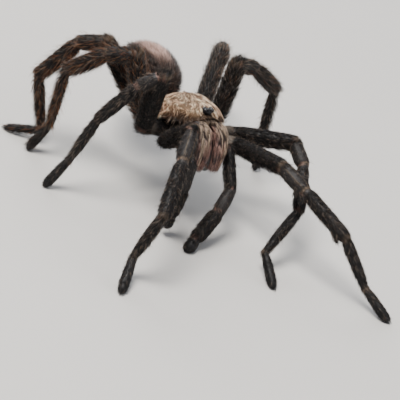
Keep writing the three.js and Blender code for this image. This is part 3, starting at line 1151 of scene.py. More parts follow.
@dataclass(frozen=True)
class Markings:
    """The colours that skin and coat share.

    Attributes:
        patch: The usual size of the broad clouds of colour, in millimetres.
        speckle: The same for the fine ones.
        stripe_angle: Where the two bald stripes of a patella lie, in radians from its back.
        stripe_half: Half of a stripe's width, in radians.
        front_stripe: How clear the stripes are on the first legs.
        stripe: The same on the other legs.
        line_angle: Where the two grey lines of a femur lie.
        line_half: Half of a line's width.
    """

    patch: float = 6.0
    speckle: float = 1.1
    stripe_angle: float = 0.5
    stripe_half: float = 0.03
    front_stripe: float = 0.2
    stripe: float = 0.12
    line_angle: float = 0.35
    line_half: float = 0.08

    def base(self, chart: Chart) -> Array:
        """The markings of skin and coat at each place.

        Args:
            chart: The places.

        Returns:
            Linear colours.
        """
        broad, fine = waves(chart.points, self.patch, 3), waves(chart.points, self.speckle, 4)
        colour = self.ground(chart, broad, fine)
        leg = chart.pairs() > 0
        angle = np.abs(chart.angle)
        stripes = band(angle, self.stripe_angle, self.stripe_half, 0.08)
        stripes *= chart.of(Part.PATELLA) * band(chart.along, 0.5, 0.4, 0.08) * leg
        clear = np.where(chart.pairs() == 1, self.front_stripe, self.stripe)
        colour = mixed(colour, Tone.BALD_STRIPE, clear * stripes)
        lines = band(angle, self.line_angle, self.line_half, 0.1)
        lines *= chart.of(Part.FEMUR) * band(chart.along, 0.72, 0.22, 0.08)
        colour = mixed(colour, Tone.LEG_GREY, 0.5 * lines)
        ends = np.zeros(len(chart.points))
        for part, amount in END_RINGS.items():
            ring = band(chart.along, 1.0, 0.012, 0.03) * chart.of(part)
            ends = np.maximum(ends, amount * ring * np.clip(0.6 + 0.6 * chart.back(), 0.0, 1.0))
        colour = mixed(colour, Tone.JOINT_RING, 0.5 * ends * leg)
        pale = chart.of(Part.COXA) * band(chart.along, 0.9, 0.1, 0.2)
        pale = pale * np.clip(0.35 + 0.65 * chart.back(), 0.0, 1.0)
        colour = mixed(colour, Tone.COXA_PALE, 0.5 * pale)
        return self.body(chart, colour, broad, fine)

    @staticmethod
    def ground(chart: Chart, broad: Array, fine: Array) -> Array:
        """The dark colour of the legs: browner on the rear right legs as painted backlight, greyer along
        their backs as a painted highlight, and greyer on the patellae as a painted sheen.

        Args:
            chart: The places.
            broad: The broad clouds there.
            fine: The fine ones.

        Returns:
            Linear colours.
        """
        rear = chart.rear()
        # Painted backlight: the rear legs on the right, lit from behind, get a browner tone than the others.
        dark = np.where((rear & chart.right())[:, None], Tone.LEG_BROWN.linear(), Tone.LEG_DARK.linear())
        # Grey in broad and fine clouds, plus a painted highlight along the legs' backs, where the light from
        # above falls.
        grey = 0.05 + 0.1 * broad + 0.05 * fine + 0.12 * np.clip(chart.back(), 0.0, 1.0)
        grey = grey * np.where(chart.of(Part.FEMUR), 0.45, 1.0) * np.where(rear, 0.7, 1.0)
        # Painted sheen: the patellae greyer, most on the front two pairs and the palps.
        return mixed(dark, Tone.LEG_GREY, grey + chart.of(Part.PATELLA) * np.where(rear, 0.1, 0.26))

    @staticmethod
    def body(chart: Chart, colour: Array, broad: Array, fine: Array) -> Array:
        """Add the trunk's and the abdomen's colours to the legs'.

        Args:
            chart: The places.
            colour: The legs' colours, which stay on the legs.
            broad: The broad clouds there.
            fine: The fine ones.

        Returns:
            Linear colours.
        """
        belly = chart.of(Part.ABDOMEN, Part.SPINNERET)
        back = chart.back()
        pale = ramp(back + 0.08 * broad + 0.05 * fine, 0.8, 1.0) * ramp(chart.along, -0.1, 0.35)
        pale = pale * chart.of(Part.ABDOMEN)
        tone = mixed(Tone.ABDOMEN_DARK, Tone.ABDOMEN_BROWN, 0.3 + 0.5 * back + 0.3 * broad)
        tone = mixed(tone, Tone.ABDOMEN_PINK, (0.95 + 0.2 * fine) * pale)
        colour = np.where(belly[:, None], tone, colour)
        under = mixed(Tone.ABDOMEN_DARK, Tone.ABDOMEN_BROWN, 0.4 + 0.3 * broad)
        return np.where(chart.of(Part.TRUNK)[:, None], under, colour)

    def skin(self, chart: Chart) -> Array:
        """The skin: the markings a little darker, and bare paler folds at the joints.

        Args:
            chart: The places.

        Returns:
            Linear colours.
        """
        folds = np.zeros(len(chart.points))
        ends = ramp(chart.along, 0.94, 1.0) + ramp(-chart.along, -0.05, 0.0)
        for part in (Part.FEMUR, Part.PATELLA, Part.TIBIA):
            folds = np.maximum(folds, chart.of(part) * ends)
        return mixed(self.base(chart) * 0.8, Tone.MEMBRANE, 0.35 * folds * (chart.back() < 0.3))


# ---------------- tufts


# A tuft has three corners at its root, three half way up and one at its tip.
TUFT_CORNERS = 7
ROOT_FACES = [[0, 2, 1], [0, 1, 4], [0, 4, 3], [1, 2, 5], [1, 5, 4], [2, 0, 3], [2, 3, 5]]
TUFT_FACES = np.array([*ROOT_FACES, [3, 4, 6], [4, 5, 6], [5, 3, 6]])
# How far up the tuft each corner lies, and how far across its patch of the unwrap.
TUFT_STAGE = np.array([0.0, 0.0, 0.0, 0.5, 0.5, 0.5, 1.0])
TUFT_ACROSS = np.array([0.0, 0.5, 1.0, 0.1, 0.5, 0.9, 0.5])


@dataclass
class Tufts:
    """Many fine solid tufts of hair, each a tapering three-sided spike.

    Attributes:
        roots: Where each grows, in millimetres.
        normals: The surface's outward direction there.
        lie: The way it is combed, along the surface.
        length: Its length.
        width: Its half width at the root.
        lift: The angle it stands up at the root, in radians.
        settle: How far it bends back down by its tip, in radians.
        root_tint: Its colour at the root.
        tip_tint: Its colour at the tip.
        place: Its root's place on the unwrap.
        PATCH: The side of its patch of the unwrap.
        SINK: How far its root lies under the surface.
        HALF_WAY: Its width half way up, against the root's.
        FLATNESS: Its thickness against its width.
    """

    roots: Array
    normals: Array
    lie: Array
    length: Array
    width: Array
    lift: Array
    settle: Array
    root_tint: Array
    tip_tint: Array
    place: Array

    PATCH = 0.003
    SINK = 0.06
    HALF_WAY = 0.72
    FLATNESS = 0.8

    def picked(self, keep: Array) -> "Tufts":
        """Only some of the tufts."""
        return Tufts(*(getattr(self, row.name)[keep] for row in fields(self)))

    @staticmethod
    def together(*groups: "Tufts") -> "Tufts":
        """Several groups as one."""
        names = [row.name for row in fields(Tufts)]
        return Tufts(*(np.concatenate([getattr(group, name) for group in groups]) for name in names))

    def corners(self) -> Array:
        """Every tuft's corners, as (tufts, corners, 3).

        Returns:
            Their places in millimetres.
        """
        normals, lie = unit(self.normals), unit(self.lie)
        side = unit(np.cross(normals, lie))
        centres, angle = [self.roots - normals * self.SINK], self.lift.copy()
        for _ in range(2):
            way = lie * np.cos(angle)[:, None] + normals * np.sin(angle)[:, None]
            centres.append(centres[-1] + way * (self.length * 0.5)[:, None])
            angle = self.lift - self.settle
        points = []
        for centre, share in zip(centres, (1.0, self.HALF_WAY)):
            for turn in (90.0, 210.0, 330.0):
                c, s = math.cos(math.radians(turn)), math.sin(math.radians(turn))
                spoke = side * c + normals * s * self.FLATNESS
                points.append(centre + spoke * (self.width * share)[:, None])
        return np.stack([*points, centres[2]], axis=1)

    def mesh(self, name: str) -> bpy.types.Mesh:
        """Make one mesh of all the tufts, with tints and the bake map.

        Args:
            name: The mesh's name.

        Returns:
            The mesh, in metres.
        """
        count = len(self.roots)
        faces = (TUFT_FACES[None] + TUFT_CORNERS * np.arange(count)[:, None, None]).reshape(-1, 3)
        mesh = bpy.data.meshes.new(name)
        mesh.vertices.add(count * TUFT_CORNERS)
        mesh.vertices.foreach_set("co", (self.corners().reshape(-1, 3) * MM).astype(np.float32).ravel())
        mesh.loops.add(len(faces) * 3)
        mesh.loops.foreach_set("vertex_index", faces.ravel().astype(np.int32))
        mesh.polygons.add(len(faces))
        mesh.polygons.foreach_set("loop_start", np.arange(0, len(faces) * 3, 3, dtype=np.int32))
        mesh.polygons.foreach_set("use_smooth", np.ones(len(faces), bool))
        mesh.update(calc_edges=True)
        stage = TUFT_STAGE[None, :, None]
        tint = self.root_tint[:, None] * (1.0 - stage) + self.tip_tint[:, None] * stage
        paint(mesh, tint.reshape(-1, 3))
        patch = np.column_stack([TUFT_ACROSS, TUFT_STAGE]) * self.PATCH
        flat = (self.place[:, None] + patch[None]).reshape(-1, 2)[faces.ravel()]
        layer = mesh.uv_layers.new(name="OFBake")
        layer.data.foreach_set("uv", flat.astype(np.float32).ravel())
        return mesh


@dataclass
class Scatter:
    """Roots spread evenly over a mesh."""

    points: Array
    normals: Array

    @staticmethod
    def over(mesh: bpy.types.Mesh, per_mm2: float, seed: int) -> "Scatter":
        """Spread roots over the faces by their area.

        Args:
            mesh: The surface, in metres.
            per_mm2: Roots for each square millimetre.
            seed: Picks one spread.

        Returns:
            The roots with the surface's smooth normals.
        """
        rng = np.random.default_rng(seed)
        mesh.calc_loop_triangles()
        index = triples(mesh.loop_triangles, "vertices", np.int32)
        normals = triples(mesh.vertex_normals, "vector")
        corners = vertices(mesh)[index]
        edges = corners[:, 1:] - corners[:, :1]
        area = np.linalg.norm(np.cross(edges[:, 0], edges[:, 1]), axis=1) / 2.0
        count = int(area.sum() * per_mm2)
        chosen = rng.choice(len(area), size=count, p=area / area.sum())
        shares = rng.dirichlet((1.0, 1.0, 1.0), size=count)
        points = (corners[chosen] * shares[:, :, None]).sum(1)
        return Scatter(points, unit((normals[index[chosen]] * shares[:, :, None]).sum(1)))

    def picked(self, keep: Array) -> "Scatter":
        """Only some of the roots."""
        return Scatter(self.points[keep], self.normals[keep])


def combed(normals: Array, way: Array, mess: float, rng: np.random.Generator) -> Array:
    """Lay a direction along the surface, with a little disorder.

    Args:
        normals: The surface's directions.
        way: Where the hair points, before it is laid down.
        mess: How far it strays, as a share.
        rng: The source of disorder.

    Returns:
        Unit directions along the surface.
    """
    strayed = way + rng.normal(scale=mess, size=way.shape)
    flat = strayed - normals * (strayed * normals).sum(1)[:, None]
    return unit(flat)


@dataclass
class BodyCoat:
    """The hair over the skin: a short dense coat and long setae.

    Attributes:
        skin: What it grows on.
        per_mm2: Roots for each square millimetre.
        rear_length: How much longer short hair is on the rear legs.
        below_length: How much longer it is again underneath them and the femurs.
        below_lift: How many degrees more it stands up underneath.
        rear_lift: The same on the rear legs and under the femurs.
        silver_share: The share of short hairs with a pale grey tip, painted as a glint.
        tan_share: The share with a tan tip.
        rear_tan_share: The same on the rear right legs, higher there as painted backlight.
        seta_share: The share of the tibia's roots that carry a seta.
        seta_length: The usual length of a seta.
        seta_width: Its half width at the root.
        clearance: How far above the floor every tuft stays.
        limit: The most tufts in one piece.
        tufts: The finished coat of each limb, the abdomen and the trunk.
    """

    skin: Skin
    per_mm2: float = 24.0
    rear_length: float = 1.3
    below_length: float = 1.4
    below_lift: float = 10.0
    rear_lift: float = 6.0
    silver_share: float = 0.08
    tan_share: float = 0.03
    rear_tan_share: float = 0.08
    seta_share: float = 0.11
    seta_length: float = 2.1
    seta_width: float = 0.034
    clearance: float = 0.08
    limit: int = 19500
    tufts: dict[str, Tufts] = field(default_factory=dict)

    def short(self, chart: Chart, normals: Array, rng: np.random.Generator) -> Tufts:
        """The short coat, combed towards the feet and the tail.

        Args:
            chart: Where the roots lie.
            normals: The skin's directions there.
            rng: The source of disorder.

        Returns:
            The tufts.
        """
        count = len(chart.points)
        length, width, lift, share = (chart.hair(what) for what in ("length", "width", "lift", "share"))
        rear, below, femur = chart.rear(), chart.back() < -0.2, chart.of(Part.FEMUR)
        length = length * np.where(rear, self.rear_length, 1.0)
        length = length * np.where(below & (rear | femur), self.below_length, 1.0)
        lift = lift + np.where(below, self.below_lift, 0.0)
        lift = lift + np.where(rear | (femur & below), self.rear_lift, 0.0)
        lie = combed(normals, chart.ahead, 0.16, rng)
        tint = Markings().base(chart)
        tip = tint * rng.uniform(0.6, 1.45, size=(count, 1))
        # Painted highlight: a few tips are mixed towards pale grey as glints of light.
        glint = (rng.random(count) < self.silver_share) * rng.uniform(0.2, 0.6, count)
        tip = mixed(tip, Tone.HAIR_SILVER, glint)
        # Painted backlight: more tan tips on the rear right legs, lit from behind, than on the left.
        tan_share = np.where(rear & chart.right(), self.rear_tan_share, self.tan_share)
        tip = mixed(tip, Tone.SETA_TAN, (rng.random(count) < tan_share) * 0.4)
        tufts = Tufts(
            chart.points,
            normals,
            lie,
            length * rng.uniform(0.7, 1.25, count),
            width * rng.uniform(0.75, 1.25, count),
            np.radians(lift * rng.uniform(0.5, 1.5, count)),
            np.radians(lift * rng.uniform(0.4, 1.2, count)),
            tint * rng.uniform(0.5, 0.95, size=(count, 1)),
            tip,
            chart.unwrap(),
        )
        return tufts.picked(rng.random(count) < share)

    def setae(self, chart: Chart, normals: Array, rng: np.random.Generator) -> Tufts:
        """Sparse long hairs that stand out, tan to orange on the rear legs, far more of them on the right as
        painted backlight.

        Args:
            chart: Where the roots lie.
            normals: The skin's directions there.
            rng: The source of disorder.

        Returns:
            The tufts.
        """
        count = len(chart.points)
        rear, leg = chart.rear(), chart.each(lambda bone: bone.limb != "body")
        under = 1.0 + 0.8 * (chart.back() < -0.3)
        keep = rng.random(count) < self.seta_share * chart.hair("setae") * under * np.where(rear, 1.5, 1.0)
        warm = mixed(Tone.SETA_TAN, Tone.SETA_ORANGE, rng.random(count)) * 0.85
        cool = mixed(Tone.LEG_GREY, Tone.SETA_PALE, rng.random(count) * 0.6)
        # Painted backlight: most setae on the rear right legs glow tan to orange, few on the left, where the
        # warm ones are the animal's own.
        backlit_glow = rear & (rng.random(count) < np.where(chart.right(), 0.6, 0.12))
        body = mixed(Tone.ABDOMEN_PINK, Tone.SETA_TAN, rng.random(count)) * 0.65
        tint = np.where(leg[:, None], np.where(backlit_glow[:, None], warm, cool), body)
        long = np.where(rear, 1.15, 0.72) * np.where(leg, 1.0, 1.35)
        tufts = Tufts(
            chart.points,
            normals,
            combed(normals, chart.ahead, 0.3, rng),
            self.seta_length * long * rng.uniform(0.35, 1.3, count),
            np.full(count, self.seta_width),
            np.radians(rng.uniform(26.0, 58.0, count)),
            np.radians(rng.uniform(8.0, 28.0, count)),
            tint * 0.8,
            tint,
            chart.unwrap(),
        )
        return tufts.picked(keep)

    def above_floor(self, tufts: Tufts) -> Tufts:
        """Only the tufts that stay above the floor from root to tip.

        Args:
            tufts: The tufts.

        Returns:
            The ones that are kept.
        """
        heights = [tufts.roots[:, 2]]
        for angle in (tufts.lift, tufts.lift - tufts.settle):
            rise = tufts.lie[:, 2] * np.cos(angle) + tufts.normals[:, 2] * np.sin(angle)
            heights.append(heights[-1] + 0.5 * tufts.length * rise)
        return tufts.picked(np.min(heights, axis=0) > self.clearance)

    def build(self, carapace: "Carapace") -> None:
        """Grow the coat, and part it into one share for each limb and each end of the body.

        Args:
            carapace: The shell, which covers some of the skin.
        """
        rng = np.random.default_rng(11)
        spread = Scatter.over(self.skin.mesh, self.per_mm2, 7)
        spread = spread.picked(carapace.uncovered(spread.points))
        chart = self.skin.chart(spread.points)
        grown = (self.short(chart, spread.normals, rng), self.setae(chart, spread.normals, rng))
        whole = self.above_floor(Tufts.together(*grown))
        owner = self.skin.chart(whole.roots)
        shares = {limb.name: owner.limb(limb.name) for limb in self.skin.limbs}
        shares["abdomen"] = owner.of(Part.ABDOMEN, Part.SPINNERET)
        shares["trunk"] = owner.of(Part.TRUNK)
        for name, here in shares.items():
            tufts = whole.picked(here)
            if len(tufts.roots) > self.limit:
                tufts = tufts.picked(np.sort(rng.choice(len(tufts.roots), self.limit, replace=False)))
            self.tufts[name] = tufts

    def dress(self) -> list[bpy.types.Object]:
        """Show the coat, one piece for each share of it.

        Returns:
            The pieces.
        """
        pieces = []
        for name, tufts in self.tufts.items():
            pieces.append(piece(f"coat_{name}", tufts.mesh(f"coat_{name}"), HairFinish(f"hair_{name}")))
        return pieces


# ---------------- the shell


# The furrows that run out from the pit, alike on both sides: (angle from the front in radians, depth).
FURROWS = ((0.5, 0.42), (1.15, 0.24), (1.75, 0.24), (2.4, 0.2))


@dataclass(frozen=True)
class Layer:
    """One layer of hair on the shell.

    Attributes:
        per_mm2: Roots for each square millimetre.
        length: The usual length, in millimetres.
        width: Half width at the root.
        lift: How far it stands up, in degrees.
        bright: 1 for the pale locks on top, 0 for the shaded hair between them.
    """

    per_mm2: float
    length: float
    width: float
    lift: float
    bright: float


@dataclass
class Carapace:
    """The shell over the front body, with its raised head, pit and furrows.

    Attributes:
        trunk: Where the trunk stands.
        front: Reach forward from the trunk's middle.
        rear: Reach back.
        half_width: Half of its greatest width.
        front_half_width: Half of the head's width at its front edge.
        corner: The power of the front edge, lower for squarer corners.
        rim_side: Height of the rim at the sides.
        rim_front: Height of the rim at the front corners.
        rim_rear: Height of the rim behind.
        clypeus_arch: How much higher the front edge's middle is.
        rim_depth: How far the rim's lower edge hangs below it.
        lip: The thickness of the rim's edge.
        crown: The greatest height.
        saddle: The height that head and back rise from.
        humps: The head's and the back's rise, place along Y and reach.
        floor: The height of the hollow underneath.
        depth: The coat's depth over it.
        pit: Where the pit in its back lies.
        lines: How closely the lines of hair are packed round the pit.
        around: Points in each ring.
        rings: Rings of the upper surface between rim and middle.
        layers: Its layers of hair.
        lock_width: The usual width of a lock of hair, in lines.
        lock_depth: How clearly the locks part.
        lock_mess: How far single hairs stray from their lock.
        bald: Where the mound of the eyes keeps the shell bare: place along Y, half width and half length.
        brow_tufts: How many tufts hang from the front edge.
        mesh: The finished shell.
    """

    trunk: TrunkPlace
    front: float = 8.4
    rear: float = 8.3
    half_width: float = 7.8
    front_half_width: float = 4.3
    corner: float = 0.62
    rim_side: float = 1.9
    rim_front: float = 3.5
    rim_rear: float = 1.6
    clypeus_arch: float = 1.9
    rim_depth: float = 0.6
    lip: float = 0.35
    crown: float = 6.4
    saddle: float = 2.2
    humps: tuple[tuple[float, float, float], ...] = ((3.9, -4.2, 4.2), (3.9, 3.0, 4.6))
    floor: float = 1.2
    depth: float = 0.22
    pit: tuple[float, float] = (0.0, 2.6)
    lines: float = 7.0
    around: int = 144
    rings: int = 44
    layers: tuple[Layer, ...] = (Layer(34.0, 0.55, 0.04, 8.0, 0.0), Layer(40.0, 1.15, 0.042, 11.0, 1.0))
    lock_width: float = 0.14
    lock_depth: float = 0.95
    lock_mess: float = 0.12
    bald: tuple[float, float, float] = (-6.35, 1.0, 0.66)
    brow_tufts: int = 420
    mesh: bpy.types.Mesh = field(init=False)

    def rim(self, angle: Array) -> Array:
        """The rim at angles round the shell.

        Args:
            angle: The angles, 0 at the front.

        Returns:
            The rim's points in the trunk's frame.
        """
        sideways, forward = np.sin(angle), np.cos(angle)
        ahead = np.maximum(0.0, forward)
        corner = np.sign(sideways) * np.abs(sideways) ** self.corner
        head = ramp(ahead, 0.25, 0.95)
        x = self.half_width * sideways * (1.0 - head) + self.front_half_width * corner * head
        reach = np.where(forward > 0, self.front * np.minimum(1.0, forward * 1.06), self.rear * forward)
        side = 1.0 - np.abs(forward)
        end = np.where(forward > 0, self.rim_front, self.rim_rear)
        arch = self.clypeus_arch * head * (1.0 - np.abs(corner) ** 2)
        z = end * (1.0 - side) + self.rim_side * side + arch
        return np.column_stack([x, -reach, z])

    def crown_at(self, y: Array) -> Array:
        """Height along the middle: a raised head and a lower back."""
        humps = [rise * np.exp(-(((y - place) / reach) ** 2)) for rise, place, reach in self.humps]
        return np.minimum(self.crown, self.saddle + humps[0] + humps[1])

    def furrows(self, points: Array) -> Array:
        """How deep the pit and the furrows that run from it cut into the shell.

        Args:
            points: Places in the trunk's frame.

        Returns:
            One depth for each place.
        """
        x, y = points[:, 0] - self.pit[0], points[:, 1] - self.pit[1]
        away = np.hypot(x, y)
        turn = np.arctan2(x, -y)
        pit = 0.55 * np.exp(-((y / 0.55) ** 2) - (x / 1.25) ** 2)
        reach = ramp(away, 0.8, 2.2)
        fade = 1.0 - ramp(away, 5.0, 7.5)
        spokes = np.zeros(len(points))
        for spoke, deep in FURROWS:
            miss = (np.abs(turn) - spoke) * np.maximum(away, 0.6)
            spokes += deep * np.exp(-((miss / 0.5) ** 2)) * reach * fade
        return pit + spokes

    def top(self, share: float, rim: Array) -> Array:
        """One ring of the upper surface, at a share of the way out to the rim.

        Args:
            share: The share of the way out.
            rim: The rim's points.

        Returns:
            The ring's points.
        """
        ring = np.column_stack([rim[:, 0] * share, rim[:, 1] * share, rim[:, 2]])
        rise = (1.0 - share**2.6) ** 0.8
        ring[:, 2] = rim[:, 2] * (1.0 - rise) + np.maximum(rim[:, 2], self.crown_at(ring[:, 1])) * rise
        ring[:, 2] -= self.furrows(ring) * min(1.0, 1.6 * (1.0 - share) + 0.1) + self.depth
        return ring

    def build(self) -> None:
        """Make the shell's mesh."""
        rim = self.rim(turns(self.around))
        rim[:, :2] *= 1.0 - self.depth / self.half_width
        rings = []
        for share in (0.5, 0.97):
            ring = rim * [share, share, 1.0]
            ring[:, 2] = self.floor * (1.0 - share) + (rim[:, 2] - self.rim_depth) * share
            rings.append(ring)
        rings.append(rim - [0.0, 0.0, self.depth + self.lip])
        shares = np.concatenate([[1.0, 0.992, 0.98], np.linspace(0.96, 0.04, self.rings)])
        rings.extend(self.top(float(share), rim) for share in shares)
        shape = Shape.loft(np.array(rings), np.array([0.0, 0.0, self.floor]), self.top(0.001, rim).mean(0))
        self.mesh = self.trunk.stand(shape).mesh("carapace")

    def uncovered(self, points: Array) -> Array:
        """Which places of the skin the shell doesn't hide.

        Args:
            points: Places in the whole animal's frame.

        Returns:
            True where skin shows.
        """
        local = self.trunk.into(points)
        inside = (local[:, 0] / (self.half_width - 0.9)) ** 2 + (local[:, 1] / (self.front - 1.2)) ** 2 < 1.0
        return ~(inside & (local[:, 2] > 0.2))

    def outwards(self, local: Array) -> Array:
        """The share of the way from the middle out to the rim."""
        rim = self.rim(np.arctan2(local[:, 0], -local[:, 1]))
        return np.hypot(local[:, 0], local[:, 1]) / np.maximum(np.hypot(rim[:, 0], rim[:, 1]), 0.1)

    def front_band(self, local: Array) -> Array:
        """How much each place belongs to the darker strip along the front edge."""
        return ramp(self.outwards(local), 0.74, 0.84) * ramp(-local[:, 1], 1.5, 4.5)

    def tints(self, local: Array) -> Array:
        """The shell's colours, in its own frame, with a painted highlight that lightens its higher parts.

        Args:
            local: Places in the trunk's frame.

        Returns:
            Linear colours.
        """
        colour = mixed(Tone.SHELL_TAN, Tone.SHELL_PINK, 0.35 + 0.5 * waves(local, 3.0, 21))
        # Painted highlight: the higher parts of the shell are paler, towards cream, where the light from
        # above falls.
        colour = mixed(colour, Tone.SHELL_CREAM, 0.35 * ramp(local[:, 2], 3.8, 6.2))
        furrow = np.clip(self.furrows(local) / 0.45, 0.0, 1.0)
        colour = mixed(colour, Tone.SHELL_SHADE, 0.5 * furrow)
        colour = mixed(colour, Tone.SHELL_EDGE, 0.85 * self.front_band(local))
        eyes = np.exp(-((local[:, 0] / 1.9) ** 2) - ((local[:, 1] + 6.7) / 1.1) ** 2)
        return mixed(colour, Tone.SHELL_EDGE, 0.85 * eyes)

    def dress(self) -> list[bpy.types.Object]:
        """Show the shell and its short coat.

        Returns:
            The pieces.
        """
        paint(self.mesh, self.tints(self.trunk.into(vertices(self.mesh))) * 0.22)
        plate = SkinFinish("shell_plate", 3000.0, 0.75, 0.08)
        rng = np.random.default_rng(31)
        grown = [self.grow(layer, rng) for layer in self.layers]
        mesh = Tufts.together(*grown, self.brow(rng)).mesh("coat_carapace")
        return [
            piece("carapace_shell", self.mesh, plate, ("carapace",)),
            piece("coat_carapace", mesh, HairFinish("hair_shell", 0.6, 0.14, 0.15)),
        ]

    def stream(self, local: Array) -> Array:
        """Which line of hair places lie on: the lines fan out from the pit and wander in swirls.

        Args:
            local: Places in the trunk's frame.

        Returns:
            One number for each place, the same all along a line.
        """
        turn = np.arctan2(local[:, 0] - self.pit[0], self.pit[1] - local[:, 1])
        swirl = 0.62 * waves(local, 1.5, 33) + 0.26 * waves(local, 0.75, 34)
        wide = 0.5 + 0.7 * ramp(np.abs(local[:, 0]), 1.0, 4.5)
        return self.lines * turn + swirl * wide * (1.0 - 0.8 * self.front_band(local))

    def flow(self, local: Array) -> Array:
        """The way the hair lies: along its line, away from the pit.

        Args:
            local: Places in the trunk's frame.

        Returns:
            Unit directions in that frame.
        """
        step = 0.04
        slopes = []
        for axis in range(2):
            shift = np.zeros(3)
            shift[axis] = step
            change = self.stream(local + shift) - self.stream(local - shift)
            whole = 2.0 * math.pi * self.lines
            slopes.append(change - whole * np.round(change / whole))
        away = local[:, :2] - np.array(self.pit)
        line = np.column_stack([-slopes[1], slopes[0]])
        line *= np.where((line * away).sum(1) < 0.0, -1.0, 1.0)[:, None]
        return unit(np.column_stack([line / (2.0 * step), np.full(len(local), -0.1)]))

    def grow(self, layer: Layer, rng: np.random.Generator) -> Tufts:
        """Lay one layer of hair over the shell, with a pale fringe at its sides.

        Args:
            layer: Which layer.
            rng: The source of disorder.

        Returns:
            The tufts.
        """
        spread = Scatter.over(self.mesh, layer.per_mm2, int(rng.integers(1000)))
        local = self.trunk.into(spread.points)
        upper = ((spread.normals @ self.trunk.turn)[:, 2] > -0.1) & (local[:, 2] > 0.6)
        place, half_width, half_length = self.bald
        keep = upper & ((local[:, 0] / half_width) ** 2 + ((local[:, 1] - place) / half_length) ** 2 > 1.0)
        local, spread = local[keep], spread.picked(keep)
        reach = np.hypot(local[:, 0], local[:, 1] - self.pit[1])
        strand = np.column_stack([self.stream(local), 0.09 * reach, np.zeros(len(local))])
        locks = self.lock_depth * waves(strand, self.lock_width, 35) + 0.2 * waves(local, 1.2, 36)
        locks = locks + self.lock_mess * rng.normal(size=len(local))
        thick = (locks > 0.1) | (layer.bright == 0.0)
        local, spread, locks = local[thick], spread.picked(thick), locks[thick]
        count = len(local)
        fringe = ramp(self.outwards(local), 0.93, 0.99) * ramp(np.abs(local[:, 0]), 3.0, 5.5)
        front = self.front_band(local)
        cream = 0.5 * fringe + 0.6 * layer.bright * (1.0 - front) * ramp(locks, 0.1, 0.8)
        pale = mixed(self.tints(local), Tone.SHELL_CREAM, cream)
        # Painted shade: the hair between the locks is much darker, and each lock is darker towards its edges
        # than along its crest; the front band is darker too.
        level = (0.09 + 1.2 * layer.bright) * (0.45 + 0.9 * ramp(locks, 0.0, 0.7)) * (1.0 - 0.5 * front)
        lift = layer.lift * rng.uniform(0.6, 1.4, count) + 24.0 * fringe
        return Tufts(
            spread.points,
            spread.normals,
            combed(spread.normals, self.trunk.way(self.flow(local)), 0.05, rng),
            (layer.length + 0.45 * fringe) * rng.uniform(0.7, 1.3, count),
            layer.width * rng.uniform(0.75, 1.3, count),
            np.radians(lift),
            np.radians(lift * rng.uniform(0.8, 1.7, count)),
            pale * (level * 0.6)[:, None],
            pale * (level * rng.uniform(0.95, 1.45, count))[:, None],
            0.5 + local[:, :2] / 20.0,
        )

    def brow(self, rng: np.random.Generator) -> Tufts:
        """Hair that hangs from the front edge over the roots of the jaws.

        Args:
            rng: The source of disorder.

        Returns:
            The tufts.
        """
        count = self.brow_tufts
        angle = rng.uniform(-0.3, 0.3, count)
        rim = self.rim(angle) * [0.98, 0.97, 1.0]
        rim[:, 2] -= self.depth + rng.uniform(0.35, 0.8, count)
        normals = np.column_stack([0.3 * np.sin(angle), -np.ones(count), np.full(count, 0.2)])
        way = np.column_stack([0.25 * np.sin(angle), np.full(count, -0.5), -np.ones(count)])
        tint = mixed(Tone.SHELL_SHADE, Tone.JAW_CREAM, rng.uniform(0.0, 0.6, count))
        normals = unit(self.trunk.way(normals))
        return Tufts(
            self.trunk.out(rim),
            normals,
            combed(normals, self.trunk.way(way), 0.16, rng),
            rng.uniform(0.9, 1.7, count),
            np.full(count, 0.042),
            np.radians(rng.uniform(20.0, 48.0, count)),
            np.radians(rng.uniform(10.0, 40.0, count)),
            tint * 0.45,
            tint * rng.uniform(0.7, 1.1, size=(count, 1)),
            0.5 + rim[:, :2] / 20.0,
        )


# ---------------- the face


def bezier(line: Array, steps: int) -> Array:
    """Points along a quadratic curve through three guide points."""
    t = np.linspace(0.0, 1.0, steps)[:, None]
    return (1.0 - t) ** 2 * line[0] + 2.0 * t * (1.0 - t) * line[1] + t**2 * line[2]


JAW_SEEDS = {"left": 51, "right": 52}
STATIONS = 60


